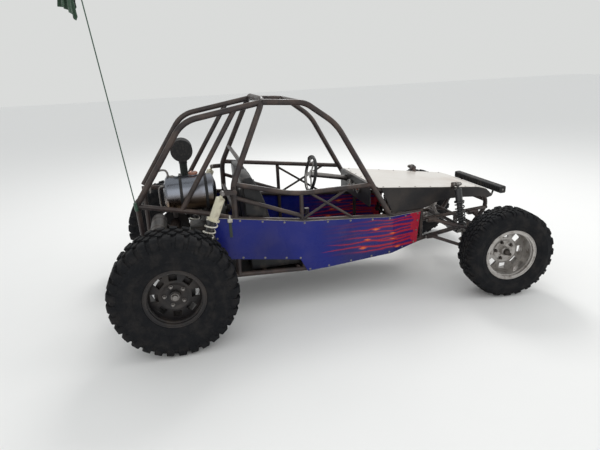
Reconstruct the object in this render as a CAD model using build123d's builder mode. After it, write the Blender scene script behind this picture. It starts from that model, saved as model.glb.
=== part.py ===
from build123d import *
import os
from math import cos, radians, sin, tan

os.makedirs("parts", exist_ok=True)

# Two-seat tube-frame dune buggy. All sizes are in millimetres.
# A place is given as (station, side, height): the station runs forward from the rear axle line,
# the side runs out from the middle of the car, positive on the left, and the height runs up
# from the ground. +X is forward, +Y is the left side and +Z is up.

# Wheels
wheelbase = 2631.0
rear_track = 1568.0
front_track = 1578.0
rear_tyre_radius = 438.0
rear_tyre_width = 318.0
front_tyre_radius = 364.0
front_tyre_width = 245.0
rim_seat_radius = 190.0
rim_flange_radius = 207.5
rear_rim_width = 268.0
front_rim_width = 196.0
rear_hub_face_depth = 66.0
front_hub_face_depth = 118.0
rim_wall = 6.0
wheel_windows = 8
bead_inset = 12.0
# Each tyre's lugs in one half of its tread, and sections of that half from the middle outwards:
# (share of the half width, how far the lugs' tops lie below the tyre's radius, and the grooves)
rear_lugs = 32
rear_tread = ((0.0, 0, 14), (0.78, 1, 15), (0.95, 22, 34), (1.0, 78, 78))
front_lugs = 24
front_tread = ((0.0, 0, 8), (0.76, 1, 9), (1.0, 58, 58))
hub_bearing = 52.0
running_gap = 0.5

# Steering
kingpin_side = 700.0
steering_arm_length = 110.0
steer_at_rest = -7.5
steering_ratio = 10.8
rack_height = 386.0
rack_bar = 25.0
rod_end_height = 20.0
stub_axle = 35.0
hand_wheel_radius = 165.0
wheel_place = (1270.0, 220.0, 935.0)
column_drop = 0.2
column_tube = 46.0
column_bore = 26.0

# Suspension
lower_ball_height = 272.0
upper_ball_height = 458.0
arm_tube = 28.0
arm_brace = 24.0
eye_width = 36.0
eye_bore = 14.0
pivot_sleeve = 84.0
ear_thickness = 6.0
spring_turns = 7
front_shock_top = (-251.0, 424.0, 868.0)
front_shock_foot = (-203.0, 478.0, 392.0)
rear_shock_top = (405.0, 533.0, 1030.0)
rear_shock_foot = (150.0, 533.0, 452.0)
# Front arms: (ball joint height, rear pivot's side and height, fore pivot's side and height)
front_arm_table = (
    (lower_ball_height, (384.0, 416.0), (316.0, 440.0)),
    (upper_ball_height, (384.0, 566.0), (342.0, 573.0)),
)
# The arms' rear legs are bent inwards, to clear the tyre at full lock.
elbow_share = 0.62
elbow_inset = 14.0
elbow_radius = 300.0

# Drive
engine_station = 150.0
engine_height = 520.0
case_half_width = 108.0
head_side = 261.0
head_height = 150.0
gearbox_height = 460.0
diff_half_width = 150.0
output_bore = 61.0
filter_station = 155.0
filter_height = 1175.0
filter_diameter = 170.0
tank_station = 5.0
tank_length = 360.0
tank_diameter = 280.0
tank_side = -175.0
tank_height = 972.0

# Fittings
seat_width = 380.0
seat_side = 220.0
seat_tube_height = 331.0
dash_bar_station = 1634.0
dash_bar_height = 905.0
light_bar_half = 360.0
whip_foot = (-215.0, -372.0, 985.0)
whip_length = 1765.0
flag_drop = 470.0
tow_eye_bore = 28.0
tow_eye_drop = 50.0
tow_plate_width = 56.0
tow_plate_thickness = 16.0

# Frame tubes
cage_tube = 44.0
rail_tube = 38.0
brace_tube = 32.0
light_tube = 20.0
weld_gap = 0.3

# Frame places
hoop_station = 480.0
hoop_top_station = 776.0
hoop_top_height = 1652.0
cage_half_width = 334.0
cockpit_half_width = 446.0
cowl_half_width = 430.0
bulkhead_half_width = 350.0
nose_half_width = 262.0
tail_half_width = 235.0
tail_top_half_width = 345.0
tail_station = -203.0
pivot_station = 405.0
pivot_height = 345.0
pivot_tube = 57.0
door_post_station = 1008.0
cowl_station = 1770.0
belt_height = 945.0
sill_height = 722.0
bulkhead_station = wheelbase - 541.0
nose_station = wheelbase + 41.0

# Sheet metal
sheet = 3.0
panel_half_width = 472.4

# The origin is on the ground, midway between the foremost and the rearmost tyre tread.
rear_axle_x = -(wheelbase + front_tyre_radius - rear_tyre_radius) / 2
front_axle = wheelbase


def at(station, side, height):
    """A place on the car, in the part's own frame."""
    return Vector(rear_axle_x + station, side, height)


def keep(piece, name):
    """Label a finished piece and write it."""
    piece.part.label = name
    export_step(piece.part, f"parts/{name}.step")


def keep_fitted(piece, name):
    """Notch a finished piece round the frame tubes, then keep it."""
    with BuildPart() as fitted:
        add(fit_to_frame(piece.part))
    keep(fitted, name)


def bar(points, diameter, bends=None):
    """A round bar along straight runs, with an arc of the given radius at each inner point."""
    with BuildPart() as rod:
        with BuildLine() as route:
            if bends:
                FilletPolyline(*points, radius=bends)
            else:
                Line(*points)
        with BuildSketch(Plane(route.line @ 0, z_dir=route.line % 0)):
            Circle(diameter / 2)
        sweep()
    return rod.part


def drum(start, end, diameter, bore=0.0):
    """A plain cylinder, or a sleeve, from one place to another."""
    span = end - start
    with BuildPart() as round_bar:
        with BuildSketch(Plane(start, z_dir=span)):
            Circle(diameter / 2)
            if bore:
                Circle(bore / 2, mode=Mode.SUBTRACT)
        extrude(amount=span.length)
    return round_bar.part


def boxes_meet(one, other):
    """Whether the boxes round two shapes share any room."""
    a = one.bounding_box()
    b = other.bounding_box()
    apart_x = a.min.X > b.max.X or b.min.X > a.max.X
    apart_y = a.min.Y > b.max.Y or b.min.Y > a.max.Y
    apart_z = a.min.Z > b.max.Z or b.min.Z > a.max.Z
    return not (apart_x or apart_y or apart_z)


# Frame. Each line of the table is one tube, or a tube on each side:
# (node, sides, diameter, bend radii, places). A tube is notched round all tubes above it.
left, right, both, middle = (1,), (-1,), (1, -1), (1,)
sides = ((1, "left"), (-1, "right"))


def across(station, half_width, height):
    """The two ends of a tube that runs straight across the car."""
    return [(station, half_width, height), (station, -half_width, height)]


def cradle(station, half_width, height):
    """A cross tube that dips between its ends to carry the fuel tank."""
    low = tank_height - tank_diameter / 2 - brace_tube / 2
    dip = [(station, 250, low), (station, -250, low)]
    return [(station, half_width, height)] + dip + [(station, -half_width, height)]


nose_rail_ends = [(bulkhead_station, bulkhead_half_width, 398), (nose_station, nose_half_width, 440)]
nose_brace_ends = [(bulkhead_station + 5, 348, 568), (nose_station + 110, 280, 585)]
frame_table = [
    ("lower_frame", middle, pivot_tube, None, across(pivot_station, 470, pivot_height)),
    (
        "lower_frame",
        both,
        rail_tube,
        [1500, 300, 900],
        [
            (pivot_station + 6, cockpit_half_width, pivot_height),
            (1020, cockpit_half_width, 312),
            (cowl_station, cowl_half_width, 350),
            *nose_rail_ends,
        ],
    ),
    (
        "main_hoop",
        middle,
        cage_tube,
        [250, 110, 110, 250],
        [
            (hoop_station, cockpit_half_width, 350),
            (hoop_station + 15, 452, 1065),
            (hoop_top_station, 353, hoop_top_height),
            (hoop_top_station, -353, hoop_top_height),
            (hoop_station + 15, -452, 1065),
            (hoop_station, -cockpit_half_width, 350),
        ],
    ),
    (
        "lower_frame",
        both,
        rail_tube,
        None,
        [(pivot_station - 6, tail_half_width, pivot_height + 1), (tail_station, tail_half_width, 365)],
    ),
    (
        "rear_cage",
        both,
        cage_tube,
        [240],
        [
            (tail_station, tail_top_half_width, 962),
            (185, 336, 1532),
            (hoop_top_station - 18, cage_half_width, 1631),
        ],
    ),
    (
        "rear_cage",
        both,
        rail_tube,
        None,
        [(tail_station, tail_half_width + 2, 371), (tail_station, tail_top_half_width - 2, 950)],
    ),
    (
        "front_cage",
        both,
        cage_tube,
        [180, 400],
        [
            (hoop_top_station - 2, cage_half_width, 1634),
            (1095, 340, 1613),
            (1330, 372, 1440),
            (cowl_station - 13, cowl_half_width - 2, 680),
        ],
    ),
    (
        "side_rails",
        both,
        rail_tube,
        [1500, 300],
        [
            (hoop_station + 13, 449, 800),
            (door_post_station, cockpit_half_width, sill_height),
            (cowl_station, cowl_half_width, 664),
            (bulkhead_station, bulkhead_half_width, 655),
        ],
    ),
    (
        "side_rails",
        both,
        rail_tube,
        [600],
        [
            (tail_station + 5, tail_top_half_width - 2, 948),
            (274, 368, 850),
            (hoop_station, 447, 806),
        ],
    ),
    (
        "side_rails",
        right,
        rail_tube,
        [900],
        [(hoop_station + 20, 451, 1068), (960, 455, belt_height), (1605, 410, belt_height - 4)],
    ),
    (
        "side_rails",
        left,
        rail_tube,
        None,
        [(hoop_station + 20, 451, 1084), (1603, 410, belt_height + 6)],
    ),
    (
        "nose_frame",
        both,
        rail_tube,
        [120, 120],
        [
            (1640, 404, 897),
            (nose_station - 2, 297, 772),
            (nose_station + 128, 280, 620),
            (nose_station, nose_half_width + 2, 447),
        ],
    ),
    ("cage_bars", both, rail_tube, None, [(566, 334, 1592), (110, 358, 891)]),
    ("cage_bars", middle, rail_tube, None, across(1075, 334, 1612)),
    ("cage_bars", middle, brace_tube, None, across(568, 420, 1222)),
    ("cage_bars", middle, brace_tube, None, across(hoop_station + 9, 442, 870)),
    ("cage_bars", middle, rail_tube, None, across(dash_bar_station, 400, dash_bar_height)),
    ("cage_bars", middle, brace_tube, None, across(tail_station, 330, 905)),
    ("cage_bars", right, brace_tube, None, [(door_post_station, 452, belt_height - 6), (1008, 447, 727)]),
    ("cage_bars", left, brace_tube, None, [(door_post_station, 446, 1017), (1008, 447, 727)]),
    ("cage_bars", both, brace_tube, None, [(door_post_station, 445, 717), (1008, 443, 318)]),
    ("cage_bars", both, brace_tube, None, [(hoop_station + 18, 450, 965), (1003, 450, 764)]),
    ("cage_bars", both, light_tube, None, [(1022, 448, 738), (1405, 427, belt_height - 6)]),
    ("cage_bars", both, light_tube, None, [(1075, 449, belt_height - 5), (1430, 440, 698)]),
    ("cage_bars", both, brace_tube, None, [(cowl_station, 431, 659), (cowl_station, 430, 356)]),
    ("lower_frame", middle, rail_tube, None, across(tail_station, tail_half_width - 5, 365)),
    ("lower_frame", middle, brace_tube, None, across(690, cockpit_half_width - 5, seat_tube_height)),
    ("lower_frame", middle, brace_tube, None, across(960, cockpit_half_width - 5, seat_tube_height)),
    ("lower_frame", middle, brace_tube, None, across(cowl_station, cowl_half_width - 5, 350)),
    ("lower_frame", middle, brace_tube, None, across(bulkhead_station, bulkhead_half_width - 5, 398)),
    ("lower_frame", middle, brace_tube, None, across(nose_station - 20, nose_half_width - 4, 438)),
    (
        "nose_frame",
        both,
        brace_tube,
        None,
        [(bulkhead_station, bulkhead_half_width, 648), (bulkhead_station, bulkhead_half_width, 404)],
    ),
    (
        "nose_frame",
        both,
        brace_tube,
        None,
        [(bulkhead_station, bulkhead_half_width, 661), (bulkhead_station, 356, 838)],
    ),
    ("nose_frame", middle, brace_tube, None, across(bulkhead_station, bulkhead_half_width - 5, 655)),
    (
        "nose_frame",
        both,
        brace_tube,
        None,
        nose_brace_ends,
    ),
    ("nose_frame", middle, brace_tube, None, across(nose_station + 95, 284, 650)),
    (
        "lower_frame",
        middle,
        brace_tube,
        None,
        across(front_axle - steering_arm_length, 280, 434),
    ),
    ("cage_bars", middle, brace_tube, [50, 50], cradle(55, 362, 893)),
    ("cage_bars", middle, brace_tube, [50, 50], cradle(315, 372, 842)),
]

frame_reach = []


def lay_frame():
    """Make every tube of the table, each notched round the tubes laid before it."""
    nodes = {}
    for node, mirrored, diameter, bends, places in frame_table:
        for side in mirrored:
            points = [at(station, side * out, height) for station, out, height in places]
            pieces = fit_to_frame(bar(points, diameter, bends)).solids()
            largest = max(piece.volume for piece in pieces)
            nodes.setdefault(node, []).extend(p for p in pieces if p.volume > largest / 20)
            frame_reach.append(bar(points, diameter + 2 * weld_gap, bends))
    for node, solids in nodes.items():
        with BuildPart() as welded:
            add(solids)
        keep(welded, node)


def fit_to_frame(piece):
    """Cut room in a piece for each frame tube that passes through it."""
    tubes = [tube for tube in frame_reach if boxes_meet(piece, tube)]
    with BuildPart() as fitted:
        add(piece)
        if tubes:
            add(tubes, mode=Mode.SUBTRACT)
    return fitted.part


# Wheels


def outward(side, steer):
    """The direction in which a wheel's outer face looks."""
    return Vector(-side * sin(radians(steer)), side * cos(radians(steer)), 0)


def ring(centre, out, outline):
    """A ring turned about an axis from an outline of (distance along it, radius) points."""
    across_axis = out.cross(Vector(0, 0, 1)) if abs(out.Z) < 0.99 else Vector(0, 1, 0)
    with BuildPart() as turned:
        with BuildSketch(Plane(centre, x_dir=out, z_dir=across_axis)):
            with BuildLine():
                Polyline(*outline, close=True)
            make_face()
        revolve(axis=Axis(centre, out))
    return turned.part


def tyre(name, centre, out, radius, width, rim_width, tread, lugs):
    """A tyre made of flat faces, whose facets carry the lugs of one half and of the other in turn."""
    step = 180 / lugs
    sections = [(width / 2 * share, radius - top, radius - groove) for share, top, groove in tread]
    edge, _, edge_radius = sections[-1]
    bead = rim_width / 2 - bead_inset
    seat = rim_seat_radius + weld_gap
    inside = [(-edge, edge_radius), (-bead, seat), (bead, seat), (edge, edge_radius)]
    faces = []
    for facet in range(2 * lugs):
        turn = radians(facet * step)
        down = Vector(0, 0, -1) * cos(turn) + out.cross(Vector(0, 0, 1)) * sin(turn)
        along = down.cross(out) * tan(radians(step / 2))

        def spot(offset, reach, groove, end):
            return centre + out * offset + down * reach + along * groove * end

        for (start, low), (stop, high) in zip(inside, inside[1:]):
            faces.append((spot(start, low, low, 1), spot(start, low, low, -1),
                          spot(stop, high, high, -1), spot(stop, high, high, 1)))
        for half in (1, -1):
            carries = (facet % 2 == 0) == (half == 1)
            for (start, top, groove), (stop, next_top, next_groove) in zip(sections, sections[1:]):
                one, two = half * start, half * stop
                if carries:
                    faces.append((spot(one, top, groove, 1), spot(one, top, groove, -1),
                                  spot(two, next_top, next_groove, -1), spot(two, next_top, next_groove, 1)))
                    for end in (1, -1):
                        flank = [spot(one, groove, groove, end), spot(one, top, groove, end),
                                 spot(two, next_top, next_groove, end)]
                        if next_top > next_groove:
                            flank.append(spot(two, next_groove, next_groove, end))
                        faces.append(flank)
                else:
                    faces.append((spot(one, groove, groove, 1), spot(one, groove, groove, -1),
                                  spot(two, next_groove, next_groove, -1), spot(two, next_groove, next_groove, 1)))
            if carries:
                _, top, groove = sections[0]
                faces.append((spot(0, groove, groove, 1), spot(0, groove, groove, -1),
                              spot(0, top, groove, -1), spot(0, top, groove, 1)))
    rubber = Solid(Shell([Face(Wire.make_polygon(corners)) for corners in faces]))
    with BuildPart() as cover:
        add(rubber)
    keep(cover, name)


def rim(centre, out, width, face_depth, hub_radius):
    """A steel wheel: barrel with a flange at each end, dished disc with windows, and hub hole."""
    half = width / 2
    face = half - face_depth
    inside = rim_seat_radius - rim_wall
    barrel = [
        (-half, rim_flange_radius),
        (-half, inside),
        (half, inside),
        (half, rim_flange_radius),
        (half - rim_wall, rim_flange_radius),
        (half - rim_wall, rim_seat_radius),
        (-half + rim_wall, rim_seat_radius),
        (-half + rim_wall, rim_flange_radius),
    ]
    disc = [
        (face - 16, hub_radius),
        (face - 16, inside + 1),
        (face - 8, inside + 1),
        (face + 8, 98),
        (face, 78),
        (face, hub_radius),
    ]
    with BuildPart() as steel:
        add(ring(centre, out, barrel))
        add(ring(centre, out, disc))
        with BuildSketch(Plane(centre, x_dir=(0, 0, 1), z_dir=out)):
            with PolarLocations(136, wheel_windows):
                Rectangle(52, 56)
        extrude(amount=half, both=True, mode=Mode.SUBTRACT)
    return steel.part


def rear_wheels():
    """The two driven wheels, each with its tyre, and the half shaft with its brake disc."""
    face = rear_rim_width / 2 - rear_hub_face_depth
    flange = diff_half_width - rear_track / 2
    journal = hub_bearing / 2 - running_gap
    shaft = [
        (flange - 20, 0),
        (flange - 20, output_bore / 2 - running_gap),
        (flange + 28, output_bore / 2 - running_gap),
        (flange + 28, 50),
        (flange + 94, 50),
        (flange + 109, 14),
        (-300, 14),
        (-285, 46),
        (-262, 46),
        (-262, journal),
        (face - 46, journal),
        (face - 46, 138),
        (face - 34, 138),
        (face - 34, 75),
        (face - 16.3, 75),
        (face - 16.3, 39.5),
        (face + 26, 39.5),
        (face + 26, 0),
    ]
    for side, label in sides:
        centre = at(0, side * rear_track / 2, rear_tyre_radius)
        out = outward(side, 0)
        with BuildPart() as wheel:
            add(rim(centre, out, rear_rim_width, rear_hub_face_depth, 40))
        keep(wheel, f"rim_rear_{label}")
        size = (rear_tyre_radius, rear_tyre_width, rear_rim_width)
        tyre(f"tyre_rear_{label}", centre, out, *size, rear_tread, rear_lugs)
        with BuildPart() as axle:
            add(ring(centre, out, shaft))
        keep(axle, f"half_shaft_{label}")


def front_wheels():
    """The two steered wheels with their tyres."""
    for side, label in sides:
        out = outward(side, steer_at_rest)
        pin = at(front_axle, side * kingpin_side, front_tyre_radius)
        centre = pin + out * (front_track / 2 - kingpin_side)
        face = front_rim_width / 2 - front_hub_face_depth
        hub = [
            (face - 40, stub_axle / 2 + running_gap),
            (face - 40, 60),
            (face - 14, 60),
            (face - 14, 37),
            (face + 34, 35),
            (face + 44, 26),
            (face + 44, 0),
            (face + 12, 0),
            (face + 12, stub_axle / 2 + running_gap),
        ]
        with BuildPart() as wheel:
            add(rim(centre, out, front_rim_width, front_hub_face_depth, 36))
            add(ring(centre, out, hub))
        keep(wheel, f"rim_front_{label}")
        size = (front_tyre_radius, front_tyre_width, front_rim_width)
        tyre(f"tyre_front_{label}", centre, out, *size, front_tread, front_lugs)


# Suspension


def ear_pair(eye, base, pin_axis, width, gap=eye_width):
    """Two lugs that hold an eye, gap wide, on its pin, from the pin back to a base."""
    reach = base - eye
    with BuildPart() as ears:
        for end in (1, -1):
            inner = eye + pin_axis * end * (gap / 2 + weld_gap)
            with BuildSketch(Plane(inner + reach * 0.5, x_dir=reach, z_dir=pin_axis * end)):
                SlotCenterToCenter(reach.length, width)
            extrude(amount=ear_thickness)
        half_pin = pin_axis * (gap / 2 + 10)
        add(drum(eye - half_pin, eye + half_pin, eye_bore - 2 * running_gap))
    return ears.part


def coil_over(foot, top, pin_axis, body, spring, spring_start, spring_length):
    """A damper with an eye at each end, and the coil spring round it."""
    span = top - foot
    length = span.length
    axis = span.normalized()
    end = spring_start + spring_length
    damper = [
        (12, 0),
        (12, 9),
        (spring_start - 12, 9),
        (spring_start - 12, spring / 2),
        (spring_start - 1, spring / 2),
        (spring_start - 1, body / 2),
        (end + 1, body / 2),
        (end + 1, spring / 2),
        (end + 12, spring / 2),
        (end + 12, body / 2 + 5),
        (length - 36, body / 2 + 5),
        (length - 30, 9),
        (length - 12, 9),
        (length - 12, 0),
    ]
    pitch = spring_length / spring_turns
    wire = 0.46 * pitch
    coil = [(spring_start, body / 2 + 4)]
    for turn in range(spring_turns):
        here = spring_start + pitch * turn
        coil += [(here, spring / 2), (here + wire, spring / 2)]
        if turn < spring_turns - 1:
            coil += [(here + wire, body / 2 + 8), (here + pitch, body / 2 + 8)]
    coil.append((end - pitch + wire, body / 2 + 4))
    half_eye = pin_axis * (eye_width / 2)
    with BuildPart() as shock:
        for outline in (damper, coil):
            with BuildSketch(Plane(foot, x_dir=axis, z_dir=axis.cross(pin_axis))):
                with BuildLine():
                    Polyline(*outline, close=True)
                make_face()
            revolve(axis=Axis(foot, axis))
        for eye in (foot, top):
            add(drum(eye - half_eye, eye + half_eye, 34))
            add(drum(eye - half_eye * 2, eye + half_eye * 2, eye_bore), mode=Mode.SUBTRACT)
    return shock.part


def wishbone(side, ball, rear_pivot, fore_pivot):
    """One front arm: two pivot sleeves, two legs, the cup of its ball joint and, low, a shock seat."""
    up = Vector(0, 0, 1)
    ahead = Vector(1, 0, 0)
    cup = at(front_axle, side * kingpin_side, ball)
    rear, fore = arm_pivots(side, rear_pivot, fore_pivot)
    elbow = rear + (cup - rear) * elbow_share - Vector(0, side * elbow_inset, 0)
    with BuildPart() as arm:
        add(bar([rear, elbow, cup], arm_tube, [elbow_radius]))
        add(bar([fore, cup], arm_tube))
        for pivot in (rear, fore):
            add(drum(pivot - ahead * pivot_sleeve / 2, pivot + ahead * pivot_sleeve / 2, 40))
        if ball == lower_ball_height:
            foot = shock_place(side, front_axle, front_shock_foot)
            add(bar([rear + (elbow - rear) * 0.68, fore + (cup - fore) * 0.5], arm_brace))
            add(ear_pair(foot, foot + Vector(0, side * 36, -36), ahead, 26))
        for pivot in (rear, fore):
            add(drum(pivot - ahead * pivot_sleeve, pivot + ahead * pivot_sleeve, eye_bore), mode=Mode.SUBTRACT)
        add(drum(cup - up * 20, cup + up * 20, 52))
        add(drum(cup - up * 40, cup + up * 40, 20 + 2 * running_gap), mode=Mode.SUBTRACT)
    return fit_to_frame(arm.part)


def arm_pivots(side, rear_pivot, fore_pivot):
    """The two places on the frame about which a front arm swings."""
    rear = at(front_axle - 451, side * rear_pivot[0], rear_pivot[1])
    fore = at(front_axle - 31, side * fore_pivot[0], fore_pivot[1])
    return rear, fore


def front_arms():
    """Upper and lower wishbones of both front wheels."""
    with BuildPart() as arms:
        for side, _ in sides:
            for ball, rear_pivot, fore_pivot in front_arm_table:
                add(wishbone(side, ball, rear_pivot, fore_pivot))
    keep(arms, "front_arms")


def shock_place(side, axle, place):
    """A shock's eye, from its place relative to an axle."""
    return at(axle + place[0], side * place[1], place[2])


def shocks():
    """The coil-overs of all four corners."""
    with BuildPart() as fronts:
        for side, _ in sides:
            foot = shock_place(side, front_axle, front_shock_foot)
            top = shock_place(side, front_axle, front_shock_top)
            add(coil_over(foot, top, Vector(1, 0, 0), 52, 84, 75, 250))
    keep(fronts, "front_shocks")
    with BuildPart() as rears:
        for side, _ in sides:
            foot = shock_place(side, 0, rear_shock_foot)
            top = shock_place(side, 0, rear_shock_top)
            add(coil_over(foot, top, Vector(0, 1, 0), 60, 96, 90, 330))
    keep(rears, "rear_shocks")


def front_tower(side):
    """The strut that stands out from a nose rail, without its lugs: its outer end and its rail end."""
    top = shock_place(side, front_axle, front_shock_top)
    return top + Vector(0, -side * 50, -8), top + Vector(0, -side * 94, -58)


def front_shock_mount(side):
    """Lugs at a front coil-over's top, and the strut to the nose rail."""
    outer, rail = front_tower(side)
    top = shock_place(side, front_axle, front_shock_top)
    with BuildPart() as mount:
        add(ear_pair(top, outer, Vector(1, 0, 0), 30))
        add(drum(outer - Vector(eye_width / 2 + 6, 0, 0), outer + Vector(eye_width / 2 + 6, 0, 0), 30))
        add(bar([outer, rail], brace_tube))
    return fit_to_frame(mount.part)


def rear_shock_mount(side):
    """Lugs at a rear coil-over's top, on a stub that stands out from the main hoop."""
    top = shock_place(side, 0, rear_shock_top)
    base = at(hoop_station + 14, side * rear_shock_top[1], rear_shock_top[2])
    outer = base + Vector(0, side * (eye_width / 2 + ear_thickness), 0)
    with BuildPart() as mount:
        add(ear_pair(top, base, Vector(0, 1, 0), 30))
        add(drum(base - Vector(0, side * 78, 0), outer, 30))
    return fit_to_frame(mount.part)


def suspension_mounts():
    """The lugs that carry the front arms' pivots and the tops of the coil-overs on the frame."""
    with BuildPart() as mounts:
        for side, _ in sides:
            add(front_shock_mount(side))
            add(rear_shock_mount(side))
            for row, (_, rear_pivot, fore_pivot) in enumerate(front_arm_table):
                for pivot in arm_pivots(side, rear_pivot, fore_pivot):
                    rail = pivot_rail(side, pivot, row)
                    seat = rail + (pivot - rail) * 0.15
                    lugs = ear_pair(pivot, seat, Vector(1, 0, 0), 22, pivot_sleeve)
                    add(fit_to_frame(lugs))
    keep(mounts, "suspension_mounts")


def pivot_rail(side, pivot, row):
    """The place on the tube behind a front arm's pivot: the low rail for row 0, else the nose brace."""
    station = pivot.X - rear_axle_x
    start, end = nose_rail_ends if row == 0 else nose_brace_ends
    share = (station - start[0]) / (end[0] - start[0])
    half = start[1] + (end[1] - start[1]) * share
    height = start[2] + (end[2] - start[2]) * share
    return at(station, side * half, height)


def trailing_arm(side):
    """A rear arm: a sleeve round the frame's cross tube, two legs, the hub carrier and a shock seat."""
    hub_inner = at(0, side * 528, rear_tyre_radius)
    disc_face = rear_track / 2 + rear_rim_width / 2 - rear_hub_face_depth - 46
    hub_outer = at(0, side * (disc_face - 7), rear_tyre_radius)
    foot = shock_place(side, 0, rear_shock_foot)
    across_car = Vector(0, side, 0)
    with BuildPart() as arm:
        add(drum(at(pivot_station, side * 285, pivot_height), at(pivot_station, side * 418, pivot_height), 80))
        add(bar([at(pivot_station, side * 396, pivot_height), at(0, side * 640, rear_tyre_radius)], cage_tube))
        add(bar([at(pivot_station, side * 306, pivot_height), at(0, side * 600, rear_tyre_radius)], rail_tube))
        add(ear_pair(foot, foot + Vector(6, 0, -40), across_car, 30))
        add(drum(hub_inner, hub_outer, 100))
        add(drum(hub_inner - across_car * 40, hub_outer + across_car, hub_bearing), mode=Mode.SUBTRACT)
    return fit_to_frame(arm.part)


def trailing_arms():
    """The rear arms of both sides."""
    with BuildPart() as arms:
        for side, _ in sides:
            add(trailing_arm(side))
    keep(arms, "trailing_arms")


def knuckles():
    """The steered uprights: kingpin, stub axle and steering arm."""
    up = Vector(0, 0, 1)
    for side, label in sides:
        out = outward(side, steer_at_rest)
        pin = at(front_axle, side * kingpin_side, front_tyre_radius)
        low = at(front_axle, side * kingpin_side, lower_ball_height)
        high = at(front_axle, side * kingpin_side, upper_ball_height)
        arm_end = pin + back_from(steer_at_rest) * steering_arm_length
        boss_top = rack_height - front_tyre_radius - rod_end_height / 2 - weld_gap
        with BuildPart() as upright:
            add(drum(low + up * 25, high - up * 25, 44))
            add(drum(low - up * 18, high + up * 18, 20))
            add(drum(pin, pin + out * 58, stub_axle))
            add(drum(pin, pin + out * 14, 72))
            add(bar([pin, arm_end], 20))
            add(drum(arm_end - up * 11, arm_end + up * boss_top, 30))
        keep(upright, f"knuckle_{label}")


# Steering


def back_from(steer):
    """The direction from a kingpin to its steering arm's end."""
    return Vector(-cos(radians(steer)), -sin(radians(steer)), 0)


def rack_at(side_place):
    """A place on the rack's own line, across the car."""
    return at(front_axle - steering_arm_length, side_place, rack_height)


def rack_housing():
    """Rack housing with its boots, its pinion and the clamps that hold it on the cross tube."""
    pinion = rack_at(70)
    with BuildPart() as housing:
        add(drum(rack_at(-125), rack_at(125), 46))
        for side, _ in sides:
            add(drum(rack_at(side * 100), rack_at(side * 258), 60))
            add(bar([rack_at(side * 90), rack_at(side * 90) + Vector(0, 0, 48)], 26))
        add(drum(pinion + Vector(0, 0, 15), pinion + Vector(-22, 10, 62), 40))
        add(drum(rack_at(-120), rack_at(120), rack_bar + 2 * running_gap), mode=Mode.SUBTRACT)
        for side, _ in sides:
            add(drum(rack_at(side * 110), rack_at(side * 259), 54), mode=Mode.SUBTRACT)
    keep_fitted(housing, "rack_housing")


def steering_rack():
    """The sliding rack bar and the two tie rods."""
    shift = -steering_arm_length * sin(radians(steer_at_rest))
    with BuildPart() as rack:
        add(drum(rack_at(shift - 180), rack_at(shift + 180), rack_bar))
    keep(rack, "steering_rack")
    half_end = Vector(0, 0, rod_end_height / 2)
    for side, label in sides:
        pin = at(front_axle, side * kingpin_side, rack_height)
        outer = pin + back_from(steer_at_rest) * steering_arm_length
        inner = rack_at(shift + side * 196)
        ball = Vector(0, side * 11, 0)
        with BuildPart() as rod:
            add(bar([inner, outer], 16))
            add(drum(inner - ball, inner + ball, 22))
            add(drum(outer - half_end, outer + half_end, 28))
        keep(rod, f"tie_rod_{label}")


def column_line():
    """The middle of the steering wheel, and the direction of its column down to the rack."""
    return at(*wheel_place), Vector(1, 0, -column_drop).normalized()


def steering_column():
    """The column's fixed tube with its hanger, and the jointed lower shaft down to the rack."""
    hub, down = column_line()
    hanger = hub + down * (dash_bar_station - wheel_place[0]) / down.X
    top = at(dash_bar_station, wheel_place[1], dash_bar_height)
    pinion_top = at(front_axle - steering_arm_length - 22, 80, rack_height + 62)
    pinion_axis = Vector(-22, 10, 47).normalized()
    joint = pinion_top + pinion_axis * 72
    with BuildPart() as column:
        add(drum(hub + down * 60, hub + down * 520, column_tube))
        add(drum(hub + down * 40, hub + down * 470, column_bore), mode=Mode.SUBTRACT)
        add(drum(hanger + Vector(0, 0, column_tube / 2 - 4), top, 20))
        add(bar([hub + down * 500, joint], 20))
        add(bar([joint, pinion_top + pinion_axis * weld_gap], 20))
        add(drum(joint - pinion_axis * 18, joint + pinion_axis * 18, 36))
    keep_fitted(column, "steering_column")


def steering_wheel():
    """A three-spoke wheel with a round rim, on its shaft."""
    hub, down = column_line()
    flat = Plane(hub, x_dir=Vector(0, 1, 0), z_dir=-down)
    grip = hand_wheel_radius - 14
    with BuildPart() as hand_wheel:
        with BuildSketch(Plane(hub + flat.x_dir * grip, x_dir=flat.x_dir, z_dir=flat.y_dir)):
            Circle(14)
        revolve(axis=Axis(hub, down))
        with BuildSketch(flat):
            with PolarLocations(grip / 2, 3, start_angle=90 + steer_at_rest * steering_ratio):
                Rectangle(grip, 34)
            Circle(40)
        extrude(amount=2, both=True)
        add(drum(hub - down * 8, hub + down * 55, 60))
        add(drum(hub, hub + down * 460, column_bore - 2 * running_gap))
    keep(hand_wheel, "steering_wheel")


# Drive


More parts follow.
